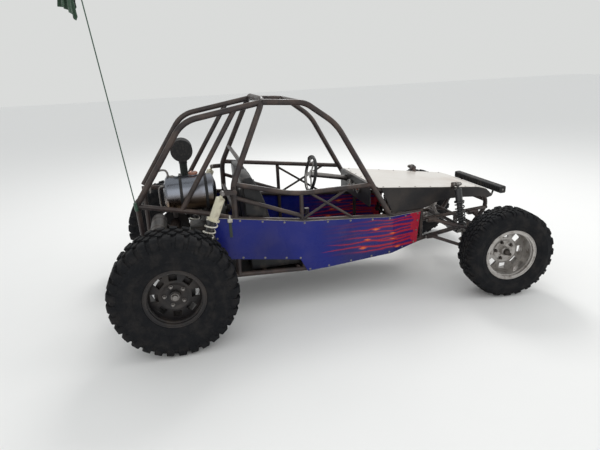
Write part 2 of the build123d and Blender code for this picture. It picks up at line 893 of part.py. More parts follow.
def engine():
    """Flat-four engine, open to view: case, finned cylinders, heads, covers and pulley."""
    case_end = engine_station + 300
    case_half = engine_height - pivot_height - pivot_tube / 2 - weld_gap
    with BuildPart() as block:
        with BuildSketch(Plane(at(engine_station, 0, engine_height), x_dir=(0, 1, 0), z_dir=(1, 0, 0))):
            RectangleRounded(2 * case_half_width, 2 * case_half, 40)
        extrude(amount=300)
        add(drum(at(case_end - 1, 0, engine_height), at(case_end + 40, 0, engine_height), 60))
        add(drum(at(case_end + 18, 0, engine_height), at(case_end + 38, 0, engine_height), 170))
    keep(block, "engine_block")
    fins = [(case_half_width + weld_gap, 0), (case_half_width + weld_gap, 48)]
    for fin in range(8):
        place = case_half_width + 10 + fin * 18
        fins += [(place, 48), (place, 64), (place + 8, 64), (place + 8, 48)]
    fins += [(head_side + 1, 48), (head_side + 1, 0)]
    with BuildPart() as cylinders:
        for side, _ in sides:
            for station in (engine_station + 75, engine_station + 225):
                add(ring(at(station, 0, engine_height), Vector(0, side, 0), fins))
            head = at(engine_station + 150, side * head_side, engine_height)
            face = Plane(head, x_dir=(1, 0, 0), z_dir=(0, side, 0))
            with BuildSketch(face):
                RectangleRounded(310, head_height, 20)
            extrude(amount=62)
            with BuildSketch(face.offset(61)):
                RectangleRounded(290, 118, 30)
            extrude(amount=46, taper=8)
    keep(cylinders, "engine_cylinders")


def transaxle():
    """Bell housing, gear case and differential, with an output flange on each side."""
    bell = engine_station - weld_gap
    case = [
        (0, 0),
        (0, 168),
        (14, 168),
        (80, 108),
        (engine_station + 60, 104),
        (engine_station + 275, 76),
        (engine_station + 285, 60),
        (engine_station + 285, 0),
    ]
    half = Vector(0, diff_half_width, 0)
    hub = at(0, 0, rear_tyre_radius)
    with BuildPart() as gearbox:
        add(ring(at(bell, 0, gearbox_height), Vector(-1, 0, 0), case))
        add(drum(hub - half, hub + half, 200))
        for side, _ in sides:
            end = hub + half * side
            across_car = Vector(0, side, 0)
            add(drum(end - across_car * 20, end + across_car * 13, 110))
            add(drum(end - across_car * 40, end + across_car * 40, output_bore), mode=Mode.SUBTRACT)
    keep_fitted(gearbox, "transaxle")


def intake():
    """Carburettor on a central plenum, runners to the heads and a riser to the air filter."""
    case_half = engine_height - pivot_height - pivot_tube / 2 - weld_gap
    foot = at(engine_station + 150, 70, engine_height + case_half + weld_gap)
    level = foot + Vector(0, 0, 35)
    with BuildPart() as pipes:
        add(drum(foot, foot + Vector(0, 0, 70), 100))
        for side, _ in sides:
            head = at(engine_station + 150, side * (head_side + 30), engine_height + head_height / 2 + weld_gap)
            add(bar([level, Vector(level.X, head.Y, level.Z), head], 36, [50]))
        neck = foot + Vector(0, 0, 94)
        stem = at(filter_station, 20, 870)
        add(bar([foot + Vector(0, 0, 60), neck, stem, at(filter_station, 20, filter_height)], 60, [45, 100]))
    keep(pipes, "intake")
    centre = at(filter_station, 20, filter_height + 110)
    half = Vector(0, 85, 0)
    with BuildPart() as canister:
        add(drum(centre - half, centre + half, filter_diameter))
        add(drum(at(filter_station, 20, filter_height + weld_gap), centre, 66))
    keep(canister, "air_filter")


def exhaust():
    """Pipes from the heads, back over the half shafts, to one muffler across the tail."""
    with BuildPart() as pipes:
        silencer = at(-105, 0, 655)
        half = Vector(0, 215, 0)
        add(drum(silencer - half, silencer + half, 130))
        for side, _ in sides:
            route = [
                at(engine_station + 75, side * 300, engine_height - head_height / 2 - weld_gap),
                at(engine_station + 75, side * 300, engine_height - 120),
                at(engine_station - 30, side * 290, engine_height - 110),
                at(-30, side * 285, 560),
                at(-105, side * 210, 650),
            ]
            add(bar(route, 40, [26, 60, 60]))
    keep(pipes, "exhaust")


def fuel_tank():
    """A spun drum with domed ends, lying fore and aft on its cradle, with cap and straps."""
    length = tank_length
    start = at(tank_station, tank_side, tank_height)
    radius = tank_diameter / 2
    shell = [
        (-0.16 * radius, 0),
        (-0.13 * radius, 0.5 * radius),
        (0, 0.9 * radius),
        (12, radius),
        (length - 12, radius),
        (length, 0.9 * radius),
        (length + 0.13 * radius, 0.5 * radius),
        (length + 0.16 * radius, 0),
    ]
    ahead = Vector(1, 0, 0)
    with BuildPart() as tank:
        add(ring(start, ahead, shell))
        for share in (0.28, 0.80):
            band = start + ahead * length * share
            add(drum(band, band + ahead * 26, tank_diameter + 4))
        neck = start + ahead * length * 0.6
        add(drum(neck, neck + Vector(0, 0, radius + 24), 56))
    keep_fitted(tank, "fuel_tank")


# Body


def sheet_solid(side_outline, plan_outline):
    """Sheet metal as what two extruded outlines share: one seen from the side, one from above."""
    with BuildPart() as panel:
        with BuildSketch(Plane.XZ):
            with BuildLine():
                Polyline(*[(rear_axle_x + x, z) for x, z in side_outline], close=True)
            make_face()
        extrude(amount=700, both=True)
        with BuildSketch(Plane.XY):
            with BuildLine():
                Polyline(*[(rear_axle_x + x, y) for x, y in plan_outline], close=True)
            make_face()
        extrude(amount=1500, mode=Mode.INTERSECT)
    return panel.part


def band(line, thickness):
    """A strip below a line of points, as thick as the sheet."""
    return line + [(x, z - thickness) for x, z in reversed(line)]


def side_panels():
    """The painted side sheets, bent in towards the nose ahead of the cowl."""
    outline = [
        (326, 832),
        (1008, 724),
        (cowl_station, 668),
        (bulkhead_station - 30, 657),
        (bulkhead_station - 64, 392),
        (cowl_station, 352),
        (1220, 308),
        (1030, 300),
        (975, 408),
        (326, 506),
    ]
    inner = panel_half_width
    nose = bulkhead_half_width + 33
    line = [(300, inner), (cowl_station, inner), (bulkhead_station, nose)]
    for side, label in sides:
        plan = [(x, side * y) for x, y in line] + [(x, side * (y + sheet)) for x, y in reversed(line)]
        with BuildPart() as panel:
            add(sheet_solid(outline, plan))
        keep(panel, f"side_panel_{label}")


floor_line = [
    (pivot_station + 40, pivot_height - 2 - rail_tube / 2 - weld_gap),
    (1020, 312 - rail_tube / 2 - weld_gap),
    (cowl_station, 350 - rail_tube / 2 - weld_gap),
    (bulkhead_station - 4, 397 - rail_tube / 2 - weld_gap),
]


def floor_top(station):
    """The height of the floor's upper face at a station."""
    for (start, low), (end, high) in zip(floor_line, floor_line[1:]):
        if station <= end:
            return low + (high - low) * (station - start) / (end - start)
    return floor_line[-1][1]


def floor_pan():
    """Belly sheet under the lower frame."""
    ahead = bulkhead_station - 4
    half = [(pivot_station + 40, cockpit_half_width), (cowl_station, cowl_half_width), (ahead, bulkhead_half_width)]
    plan = half + [(x, -y) for x, y in reversed(half)]
    with BuildPart() as pan:
        add(sheet_solid(band(floor_line, sheet), plan))
    keep_fitted(pan, "floor_pan")


def nose_plan():
    """Half outline of the nose from above, at the inner faces of its side sheets."""
    return [(1656, 426), (nose_station, 321), (nose_station + 141, 306)]


def nose_top():
    """The line of the hood's underside, seen from the side."""
    return [(1656, 914.8), (nose_station - 22, 794), (nose_station + 68, 765), (nose_station + 140, 701)]


def clear_of_towers(panel):
    """Cut the holes through which the front shock towers reach the nose rails."""
    with BuildPart() as holed:
        add(panel)
        for side, _ in sides:
            outer, rail = front_tower(side)
            add(bar([outer + (outer - rail), rail], brace_tube + 4), mode=Mode.SUBTRACT)
    return holed.part


def hood():
    """Top sheet of the nose, lying on the nose rails."""
    half = nose_plan()
    plan = [(x, y + sheet) for x, y in half] + [(x, -y - sheet) for x, y in reversed(half)]
    line = [(x, z + sheet) for x, z in nose_top()]
    with BuildPart() as top:
        add(clear_of_towers(sheet_solid(band(line, sheet), plan)))
    keep_fitted(top, "hood")


def nose_sides():
    """The nose's dark side sheets, hung from the hood's edges."""
    half = nose_plan()
    top = [(x, z - weld_gap) for x, z in nose_top()][1:]
    rear_top = (1683, 914.8 - weld_gap - (1683 - 1656) * (914.8 - 794) / (nose_station - 22 - 1656))
    lower = [
        (nose_station + 98, 692),
        (nose_station - 172, 722),
        (nose_station - 317, 729),
        (nose_station - 412, 727),
        (bulkhead_station + 20, 682),
        (1792, 684),
    ]
    with BuildPart() as cheeks:
        for side, _ in sides:
            plan = [(x, side * y) for x, y in half] + [(x, side * (y + sheet)) for x, y in reversed(half)]
            add(clear_of_towers(sheet_solid([rear_top] + top + lower, plan)))
    keep(cheeks, "nose_sides")


def dash():
    """Instrument panel below the dash bar, with its dials and the hole for the column."""
    plate_back = dash_bar_station - rail_tube / 2 - weld_gap
    middle_height = dash_bar_height - 72
    column_height = wheel_place[2] - column_drop * (plate_back - wheel_place[0])
    with BuildPart() as panel:
        with BuildSketch(Plane(at(plate_back, 0, middle_height), x_dir=(0, -1, 0), z_dir=(-1, 0, 0))):
            RectangleRounded(740, 190, 24)
            with Locations((-wheel_place[1], column_height - middle_height)):
                Rectangle(column_tube + 8, column_tube + 12, mode=Mode.SUBTRACT)
        extrude(amount=sheet)
        for y, size in ((90, 86), (-20, 66), (-110, 66)):
            dial = at(plate_back - sheet, y, middle_height)
            add(drum(dial + Vector(0.5, 0, 0), dial - Vector(14, 0, 0), size))
    keep(panel, "dash")


def light_bar():
    """A slim bar of lamps across the nose on two bent brackets."""
    centre = at(nose_station + 205, 0, 752)
    with BuildPart() as lamps:
        with BuildSketch(Plane(centre - Vector(0, light_bar_half, 0), x_dir=(1, 0, 0), z_dir=(0, 1, 0))):
            RectangleRounded(60, 62, 12)
        extrude(amount=2 * light_bar_half)
        for side, _ in sides:
            hanger = centre + Vector(-14, side * 250, -20)
            elbow = at(nose_station + 168, side * 258, 680)
            add(bar([hanger, elbow, at(nose_station + 74, side * 286, 676)], 16, [24]))
    keep_fitted(lamps, "light_bar")


def seats():
    """Two bucket seats with raised side bolsters, standing on the floor's cross tubes."""
    seat_base = seat_tube_height + brace_tube / 2 + weld_gap
    middle_profile = [
        (590, seat_base),
        (1050, seat_base),
        (1082, 405),
        (1060, 455),
        (770, 420),
        (675, 1060),
        (640, 1100),
        (570, 1090),
    ]
    bolster_profile = [
        (590, seat_base),
        (1050, seat_base),
        (1082, 405),
        (1062, 500),
        (880, 500),
        (800, 620),
        (735, 960),
        (640, 1100),
        (570, 1090),
    ]
    for side, label in sides:
        with BuildPart() as seat:
            centre = side * seat_side
            for profile, low, high in (
                (middle_profile, -seat_width / 2, seat_width / 2),
                (bolster_profile, -seat_width / 2, 52 - seat_width / 2),
                (bolster_profile, seat_width / 2 - 52, seat_width / 2),
            ):
                with BuildSketch(Plane(Vector(0, centre + high, 0), x_dir=(1, 0, 0), z_dir=(0, -1, 0))):
                    with BuildLine():
                        Polyline(*[(rear_axle_x + x, z) for x, z in profile], close=True)
                    make_face()
                extrude(amount=high - low)
        keep(seat, f"seat_{label}")


def whip():
    """A glass fibre whip on the tail, with a limp flag at its top."""
    foot = at(*whip_foot)
    lean = Vector(-0.086, 0, 1).normalized()
    with BuildPart() as rod:
        add(drum(foot - lean * 60, foot, 26))
        add(drum(foot - lean, foot + lean * whip_length, 8))
    keep_fitted(rod, "whip")
    top = foot + lean * (whip_length - 15)
    with BuildPart() as flag:
        for drop, width, depth in ((0, 30, 20), (120, 60, 46), (300, 92, 60), (flag_drop, 46, 30)):
            place = top - lean * drop - Vector(width / 2 + 4.4, 0, 0)
            with BuildSketch(Plane(place, x_dir=(1, 0, 0), z_dir=-lean)):
                Ellipse(width / 2, depth / 2)
        loft(ruled=True)
    keep(flag, "flag")


def small_parts():
    """Pedals, gear lever and the grab loop."""
    shaft_height = floor_top(2010) + 11 + 3 * weld_gap
    with BuildPart() as pedals:
        for y in (130, 220, 310):
            pad = at(1975, y, 520)
            with BuildSketch(Plane(pad, x_dir=(0, 1, 0), z_dir=(-1, 0, 0.35))):
                RectangleRounded(62, 84, 10)
            extrude(amount=8)
            add(bar([pad + Vector(3, 0, 0), at(2010, y, shaft_height)], 14))
        add(bar([at(2010, 100, shaft_height), at(2010, 335, shaft_height)], 22))
    keep_fitted(pedals, "pedals")
    with BuildPart() as lever:
        base = at(1130, 0, floor_top(1190) + weld_gap)
        with BuildSketch(Plane(base, x_dir=(1, 0, 0), z_dir=(0, 0, 1))):
            RectangleRounded(120, 70, 12)
        extrude(amount=60)
        add(bar([base + Vector(0, 0, 40), at(1160, 0, 640)], 16))
        add(drum(at(1160, 0, 630), at(1164, 0, 684), 44))
    keep(lever, "gear_lever")
    with BuildPart() as loop:
        centre = at(1340, 428, 1032)
        with BuildSketch(Plane(centre + Vector(32, 0, 0), x_dir=(1, 0, 0), z_dir=(0, 0, 1))):
            Circle(7)
        revolve(axis=Axis(centre, Vector(0, 1, 0)))
    keep_fitted(loop, "grab_loop")


def tow_eyes():
    """Towing eyes: a bored plate that hangs across the car under the front and the rear cross tube."""
    with BuildPart() as eyes:
        for station, height in ((nose_station - 20, 438), (tail_station, 365)):
            eye = at(station - tow_plate_thickness / 2, 0, height - tow_eye_drop)
            with BuildSketch(Plane(eye, x_dir=(0, 1, 0), z_dir=(1, 0, 0))):
                Circle(tow_plate_width / 2)
                with Locations((0, tow_eye_drop / 2)):
                    Rectangle(tow_plate_width, tow_eye_drop)
                Circle(tow_eye_bore / 2, mode=Mode.SUBTRACT)
            extrude(amount=tow_plate_thickness)
    keep_fitted(eyes, "tow_eyes")


lay_frame()
rear_wheels()
front_wheels()
front_arms()
shocks()
suspension_mounts()
trailing_arms()
knuckles()
rack_housing()
steering_rack()
steering_column()
steering_wheel()
engine()
transaxle()
intake()
exhaust()
fuel_tank()
side_panels()
floor_pan()
hood()
nose_sides()
dash()
light_bar()
seats()
whip()
small_parts()
tow_eyes()
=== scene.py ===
import math
import bpy
from mathutils import Matrix, Vector


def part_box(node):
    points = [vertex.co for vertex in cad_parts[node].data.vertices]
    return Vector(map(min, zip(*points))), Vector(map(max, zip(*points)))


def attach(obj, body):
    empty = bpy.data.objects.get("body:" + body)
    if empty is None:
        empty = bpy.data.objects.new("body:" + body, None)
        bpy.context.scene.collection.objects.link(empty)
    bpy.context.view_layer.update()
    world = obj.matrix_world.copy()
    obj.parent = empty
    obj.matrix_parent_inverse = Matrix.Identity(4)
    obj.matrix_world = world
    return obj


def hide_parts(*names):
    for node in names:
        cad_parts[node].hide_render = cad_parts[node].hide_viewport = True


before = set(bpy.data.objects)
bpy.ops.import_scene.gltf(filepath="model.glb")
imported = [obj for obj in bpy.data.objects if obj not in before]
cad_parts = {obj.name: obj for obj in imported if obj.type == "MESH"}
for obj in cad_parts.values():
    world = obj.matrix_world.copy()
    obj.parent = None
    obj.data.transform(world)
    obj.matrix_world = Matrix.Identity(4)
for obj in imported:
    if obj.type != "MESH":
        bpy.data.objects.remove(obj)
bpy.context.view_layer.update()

# Camera. It stands at the buggy's right side, a little behind its middle and above its roof,
# with a wide lens. Its place and turn were worked out from the outlines of the wheels.
camera_place = Vector((-1.0901, -3.811, 1.8495))
camera_right = Vector((0.96813, -0.24617, -0.04605))
camera_up = Vector((0.12086, 0.29821, 0.94681))
camera_turn = Matrix((camera_right, camera_up, camera_right.cross(camera_up))).transposed()
camera = bpy.data.objects.new("camera", bpy.data.cameras.new("camera"))
camera.data.sensor_width = 36.0
camera.data.lens = 27.79
camera.matrix_world = Matrix.Translation(camera_place) @ camera_turn.to_4x4()
bpy.context.scene.collection.objects.link(camera)
bpy.context.scene.camera = camera
bpy.context.scene.view_settings.view_transform = "Standard"


class Wire:
    """A socket in a material. Arithmetic on it adds Math nodes, and node() adds any other kind."""

    def __init__(self, tree, socket=None):
        self.tree = tree
        self.socket = socket

    def node(self, kind, settings, sockets, out=0):
        """Add a node: its settings first, then the values or wires of its sockets."""
        made = self.tree.nodes.new("ShaderNode" + kind)
        for key, value in settings.items():
            if key == "stops":
                while len(made.color_ramp.elements) < len(value):
                    made.color_ramp.elements.new(1.0)
                for element, (place, colour) in zip(made.color_ramp.elements, value):
                    element.position = place
                    element.color = (*colour, 1.0)
            else:
                setattr(made, key, value)
        for key, value in sockets.items():
            if isinstance(value, Wire):
                self.tree.links.new(value.socket, made.inputs[key])
            elif made.inputs[key].type == "RGBA":
                made.inputs[key].default_value = (*value, 1.0)
            else:
                made.inputs[key].default_value = value
        return Wire(self.tree, made.outputs[out])

    def maths(self, operation, first, second=0.0):
        return self.node("Math", {"operation": operation}, {0: first, 1: second})

    def __add__(self, other):
        return self.maths("ADD", self, other)

    def __sub__(self, other):
        return self.maths("SUBTRACT", self, other)

    def __rsub__(self, other):
        return self.maths("SUBTRACT", other, self)

    def __mul__(self, other):
        return self.maths("MULTIPLY", self, other)

    def __truediv__(self, other):
        return self.maths("DIVIDE", self, other)

    def __pow__(self, other):
        return self.maths("POWER", self, other)

    def __abs__(self):
        return self.maths("ABSOLUTE", self)

    def wave(self):
        return self.maths("SINE", self)

    def larger(self, other):
        return self.maths("MAXIMUM", self, other)

    def step(self, low, high):
        """0 up to low, 1 from high, and smooth between them."""
        return self.node(
            "MapRange",
            {"interpolation_type": "SMOOTHSTEP"},
            {"Value": self, "From Min": low, "From Max": high},
        )

    def part(self, axis):
        return self.node("SeparateXYZ", {}, {0: self}, axis)

    def stretched(self, scale):
        return self.node("Mapping", {}, {"Vector": self, "Scale": scale})

    def grain(self, scale, detail=4.0, rough=0.5):
        sockets = {"Vector": self, "Scale": scale, "Detail": detail, "Roughness": rough}
        return self.node("TexNoise", {}, sockets)

    def cells(self, scale):
        return self.node("TexVoronoi", {}, {"Vector": self, "Scale": scale})

    def mixed(self, low, high):
        """The colour low where this wire is 0, and high where it is 1."""
        return self.node("Mix", {"data_type": "RGBA"}, {0: self, 6: low, 7: high}, 2)

    def drive(self, socket):
        self.tree.links.new(self.socket, self.tree.nodes["Principled BSDF"].inputs[socket])

    def dull(self, share, base, *grain):
        """The roughness: a share of this place's grain on top of its base."""
        (self.grain(*grain) * share + base).drive("Roughness")

    def relief(self, depth, strength=1.0):
        self.node("Bump", {}, {"Height": self, "Distance": depth, "Strength": strength}).drive("Normal")


def finish(name, **sockets):
    """A material, and the wire of its place on the object. Plain numbers go on the shader itself."""
    material = bpy.data.materials.new(name)
    material.use_nodes = True
    shader = material.node_tree.nodes["Principled BSDF"]
    for key, value in sockets.items():
        shader.inputs[key.replace("_", " ")].default_value = value
    return material, Wire(material.node_tree).node("TexCoord", {}, {}, "Object")


# Studio. A plain pale floor and a white surround that only the camera and reflections see, with
# a broad lamp high behind the far side, as the sun stood, and two weaker ones on the near side.
floor_size = 80.0
floor_tone = (0.82, 0.81, 0.79)
floor_patch_tone = tuple(0.985 * tone for tone in floor_tone)
surround_tone = (0.70, 0.71, 0.70)
dome_tone = (0.95, 0.98, 1.0)
dome_strength = 0.84
bpy.ops.mesh.primitive_plane_add(size=floor_size)
floor = bpy.context.object
floor.name = "floor"
floor_paint, floor_place = finish("floor_paint", Roughness=0.95)
floor_place.grain(3.0).mixed(floor_tone, floor_patch_tone).drive("Base Color")
floor.data.materials.append(floor_paint)
surround = bpy.data.worlds.new("surround")
surround.use_nodes = True
bpy.context.scene.world = surround
sky = Wire(surround.node_tree)
dome = surround.node_tree.nodes["Background"]
dome.inputs["Color"].default_value = (*dome_tone, 1.0)
dome.inputs["Strength"].default_value = dome_strength
plain = sky.node("Background", {}, {"Color": surround_tone, "Strength": 1.0})
rays = sky.node("LightPath", {}, {}, "Is Camera Ray")
for kind in ("Is Glossy Ray", "Is Transmission Ray"):
    rays = rays.larger(sky.node("LightPath", {}, {}, kind))
seen = sky.node("MixShader", {}, {0: rays, 1: Wire(sky.tree, dome.outputs[0]), 2: plain})
sky.tree.links.new(seen.socket, sky.tree.nodes["World Output"].inputs["Surface"])
# Each lamp: (name, place, width, power)
for name, place, width, power in (
    ("sun_side", Vector((1.5, 4.2, 5.6)), 2.4, 200.0),
    ("near_side", Vector((-1.8, -6.0, 3.6)), 5.0, 60.0),
    ("nose_side", Vector((6.0, -2.5, 3.0)), 3.5, 60.0),
):
    lamp = bpy.data.objects.new(name, bpy.data.lights.new(name, "AREA"))
    lamp.data.size = width
    lamp.data.energy = power
    lamp.matrix_world = Matrix.Translation(place) @ place.to_track_quat("Z", "Y").to_matrix().to_4x4()
    bpy.context.scene.collection.objects.link(lamp)


# Tube frame. Bent and straight steel tubes, notched and welded, under one coat of dark paint
# that years of sand have turned brown. Its paint is chipped and dust lies on the upper faces.
def dust_on(place, scale, amount):
    """Where fine sand lies: more on faces that look up, in soft patches."""
    upward = place.node("NewGeometry", {}, {}, "Normal").part(2).step(-0.5, 1.0)
    return (upward * 0.65 + 0.35) * place.grain(scale, 5.0, 0.6).step(0.35, 0.75) * amount


def dress(material, *nodes):
    """Give carried-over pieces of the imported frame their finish."""
    for node in nodes:
        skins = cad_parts[node].data.materials
        skins.clear()
        skins.append(material)


sand_tone = (0.34, 0.25, 0.18)
frame_tone = (0.020, 0.015, 0.016)
frame_worn_tone = (0.048, 0.031, 0.027)
frame_chip_tone = (0.10, 0.060, 0.045)
frame_paint, place = finish("frame_paint", Coat_Weight=0.08, Coat_Roughness=0.35, Specular_IOR_Level=0.35)
worn = place.grain(9.0, 6.0, 0.65).step(0.42, 0.66)
chips = place.grain(70.0, 3.0, 0.7).step(0.66, 0.70)
paint = worn.mixed(frame_tone, frame_worn_tone)
paint = chips.mixed(paint, frame_chip_tone)
dust_on(place, 6.0, 0.20).mixed(paint, sand_tone).drive("Base Color")
(worn * 0.2 + chips * 0.15 + 0.38).drive("Roughness")
(place.grain(260.0) * 0.4 - chips).relief(0.0004, 0.5)
dress(
    frame_paint,
    "lower_frame", "main_hoop", "rear_cage", "front_cage", "cage_bars", "side_rails", "nose_frame",
    "suspension_mounts", "trailing_arms", "front_arms", "grab_loop", "tow_eyes",
    "knuckle_left", "knuckle_right",
)

# Side panels. Thin steel sheets in deep blue gloss, with long red and orange flames that stream
# back from a red front edge. They are held by button-head bolts along their edges.
axle_place = sum((corner.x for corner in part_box("tyre_rear_left")), 0.0) / 2
blue_tone = (0.007, 0.014, 0.165)
blue_deep_tone = (0.005, 0.008, 0.085)
blue_scuff_tone = (0.16, 0.14, 0.17)
glow_purple = (0.075, 0.010, 0.085)
lick_red = (0.330, 0.012, 0.035)
tongue_orange = (0.72, 0.13, 0.020)
panel_front = 2.06
# Each lick of flame: (station of its tip, height at its tip, height at its root, half width)
licks = (
    (1.48, 0.652, 0.640, 0.0065),
    (1.60, 0.622, 0.612, 0.0085),
    (1.38, 0.588, 0.582, 0.0105),
    (1.52, 0.556, 0.552, 0.0080),
    (1.34, 0.520, 0.520, 0.0110),
    (1.56, 0.484, 0.490, 0.0090),
    (1.18, 0.492, 0.464, 0.0100),
    (1.13, 0.446, 0.432, 0.0110),
    (1.40, 0.400, 0.404, 0.0100),
)
# Each orange tongue among them: (station, height, half length, half height)
tongues = (
    (1.620, 0.580, 0.055, 0.013),
    (1.770, 0.527, 0.050, 0.009),
    (1.545, 0.497, 0.050, 0.011),
    (1.775, 0.478, 0.065, 0.006),
    (1.505, 0.428, 0.055, 0.015),
    (1.820, 0.400, 0.050, 0.012),
)
blue_paint, place = finish("blue_paint", Coat_Weight=0.2, Coat_Roughness=0.12, Specular_IOR_Level=0.15)
station = place.part(0) - axle_place
height = place.part(2)
sway = place.stretched((3.0, 1.0, 6.0)).grain(2.2, 2.0) * 0.026 - 0.013
rim_wave = (height * 60.0).wave() * 0.018
heat = (station - 1.965 + rim_wave) * 0.30
for number, (tip, low, high, half) in enumerate(licks):
    along = station.node("MapRange", {}, {"Value": station, "From Min": tip, "From Max": panel_front})
    bend = (station * 13.0 + number * 2.1).wave() * 0.005
    middle = along * (high - low) + low + bend + sway
    heat = heat.larger(along ** 0.55 * half - abs(height - middle))
spark = heat * 0.0
for centre, level, long, tall in tongues:
    run = (station - centre) / long
    rise = (height - level - (station * 30.0).wave() * 0.002) / tall
    spark = spark.larger(1.0 - abs(run) - abs(rise) * abs(rise))
glow = heat.step(-0.016, 0.001) * station.step(1.10, 1.45)
paint = place.grain(1.6, 2.0).step(0.35, 0.7).mixed(blue_tone, blue_deep_tone)
paint = (glow * 0.75).mixed(paint, glow_purple)
paint = heat.step(0.0002, 0.0022).mixed(paint, lick_red)
paint = (spark.step(0.10, 0.90) * 0.9).mixed(paint, tongue_orange)
scuffs = place.stretched((1.0, 1.0, 5.0)).grain(45.0, 5.0, 0.7).step(0.64, 0.72)
paint = (scuffs * 0.20).mixed(paint, blue_scuff_tone)
dust_on(place, 5.0, 0.09).mixed(paint, sand_tone).drive("Base Color")
(place.grain(14.0, 5.0) * 0.25 + scuffs * 0.3 + 0.16).drive("Roughness")
place.grain(6.0, 2.0).relief(0.004, 0.25)
dress(blue_paint, "side_panel_left", "side_panel_right")

# Hood. A pale gloss sheet that lies on the nose rails, with a sandblasted, dusty front.
hood_tone = (0.64, 0.60, 0.55)
hood_stain_tone = (0.48, 0.39, 0.33)
hood_pit_tone = (0.30, 0.26, 0.23)
pale_paint, place = finish("pale_paint", Coat_Weight=0.5, Coat_Roughness=0.2)
nearer = (place.part(0) - axle_place).step(1.9, 2.8)
stain = place.grain(4.5, 6.0, 0.6).step(0.42, 0.75) * (nearer * 0.6 + 0.25)
stain = stain.mixed(hood_tone, hood_stain_tone)
pits = place.grain(160.0, 2.0, 0.6).step(0.70, 0.74) * nearer
pits.mixed(stain, hood_pit_tone).drive("Base Color")
place.dull(0.3, 0.2, 10.0, 4.0)
place.grain(5.0, 2.0).relief(0.004, 0.2)
dress(pale_paint, "hood")

# Nose sides and floor. Black sheets with stone scratches, and brown with dust low down. The rear
# rims, the exhaust and the half shafts have the same paint.
black_paint, place = finish("black_paint", Coat_Weight=0.1, Coat_Roughness=0.3, Specular_IOR_Level=0.25)
scratch = place.stretched((1.0, 1.0, 7.0)).grain(30.0, 5.0, 0.7).step(0.62, 0.72)
paint = (scratch * 0.5).mixed((0.016, 0.015, 0.016), (0.12, 0.10, 0.09))
dust_on(place, 7.0, 0.14).mixed(paint, sand_tone).drive("Base Color")
place.dull(0.3, 0.28, 12.0, 4.0)
place.grain(7.0, 3.0).relief(0.003, 0.3)
dress(
    black_paint,
    "nose_sides", "floor_pan", "pedals", "dash", "rim_rear_left", "rim_rear_right",
    "exhaust", "half_shaft_left", "half_shaft_right",
)


# Tyres. Black rubber with deep separate lugs at the rear and a finer block tread in front. Sand
# has rubbed the lugs' faces grey and lies in the grooves. The sidewalls are bare of lettering.
merge_gap = 0.00002


def select_only(piece):
    """Make one piece the only selected and active one, in object mode."""
    if bpy.context.object and bpy.context.object.mode != "OBJECT":
        bpy.ops.object.mode_set(mode="OBJECT")
    bpy.ops.object.select_all(action="DESELECT")
    piece.select_set(True)
    bpy.context.view_layer.objects.active = piece


def mesh_piece(points, edges, faces):
    """A piece from its points, edges and faces."""
    mesh = bpy.data.meshes.new("piece")
    mesh.from_pydata(points, edges, faces)
    piece = bpy.data.objects.new("piece", mesh)
    bpy.context.scene.collection.objects.link(piece)
    select_only(piece)
    return piece


def edit_all():
    """Go into edit mode with all of the mesh selected."""
    bpy.ops.object.mode_set(mode="EDIT")
    bpy.ops.mesh.select_all(action="SELECT")


def face_outward():
    """Select all of the mesh and turn its faces outward."""
    bpy.ops.mesh.select_all(action="SELECT")
    bpy.ops.mesh.normals_make_consistent(inside=False)


def set_at(piece, place, turn=None):
    """Move a piece to its place, turned by a quaternion, and keep the place in its mesh."""
    select_only(piece)
    piece.matrix_world = Matrix.Translation(place) @ (turn.to_matrix().to_4x4() if turn else Matrix())
    bpy.ops.object.transform_apply(location=True, rotation=True, scale=True)
    return piece


def turned(outline, steps, place=None, turn=None):
    """A ring or solid turned about Y from (along, radius) points, and set at its place."""
    count = len(outline)
    points = [(0.0, along, radius) for along, radius in outline]
    piece = mesh_piece(points, [(i, (i + 1) % count) for i in range(count)], [])
    edit_all()
    bpy.ops.mesh.spin(steps=steps, angle=math.tau, center=(0, 0, 0), axis=(0, 1, 0))
    bpy.ops.mesh.select_all(action="SELECT")
    bpy.ops.mesh.remove_doubles(threshold=merge_gap)
    bpy.ops.mesh.delete_loose()
    face_outward()
    bpy.ops.object.mode_set(mode="OBJECT")
    return piece if place is None else set_at(piece, place, turn)


def band(start, stop, inner, outer):
    """The outline of a plain ring from its two ends and two radii."""
    return [(start, inner), (start, outer), (stop, outer), (stop, inner)]


def joined(pieces):
    """Several pieces made one."""
    select_only(pieces[0])
    for piece in pieces:
        piece.select_set(True)
    bpy.ops.object.join()
    return pieces[0]


def finished(name, pieces, material, smooth=35.0, body="chassis"):
    """Make pieces one, with a name, a finish and the body that it rides on."""
    piece = joined(pieces) if isinstance(pieces, list) else pieces
    select_only(piece)
    piece.name = name
    piece.data.materials.clear()
    piece.data.materials.append(material)
    bpy.ops.object.shade_smooth_by_angle(angle=math.radians(smooth))
    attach(piece, body)
    return piece


def copied(piece):
    """A copy with a mesh of its own."""
    twin = piece.copy()
    twin.data = piece.data.copy()
    bpy.context.scene.collection.objects.link(twin)
    return twin


def slab(points, move, edge, segments):
    """A plate drawn out from its outline, with bevelled edges. It is left in edit mode."""
    piece = mesh_piece(points, [], [range(len(points))])
    edit_all()
    bpy.ops.mesh.extrude_region_move(TRANSFORM_OT_translate={"value": move})
    face_outward()
    bpy.ops.mesh.bevel(offset=edge, segments=segments)
    return piece


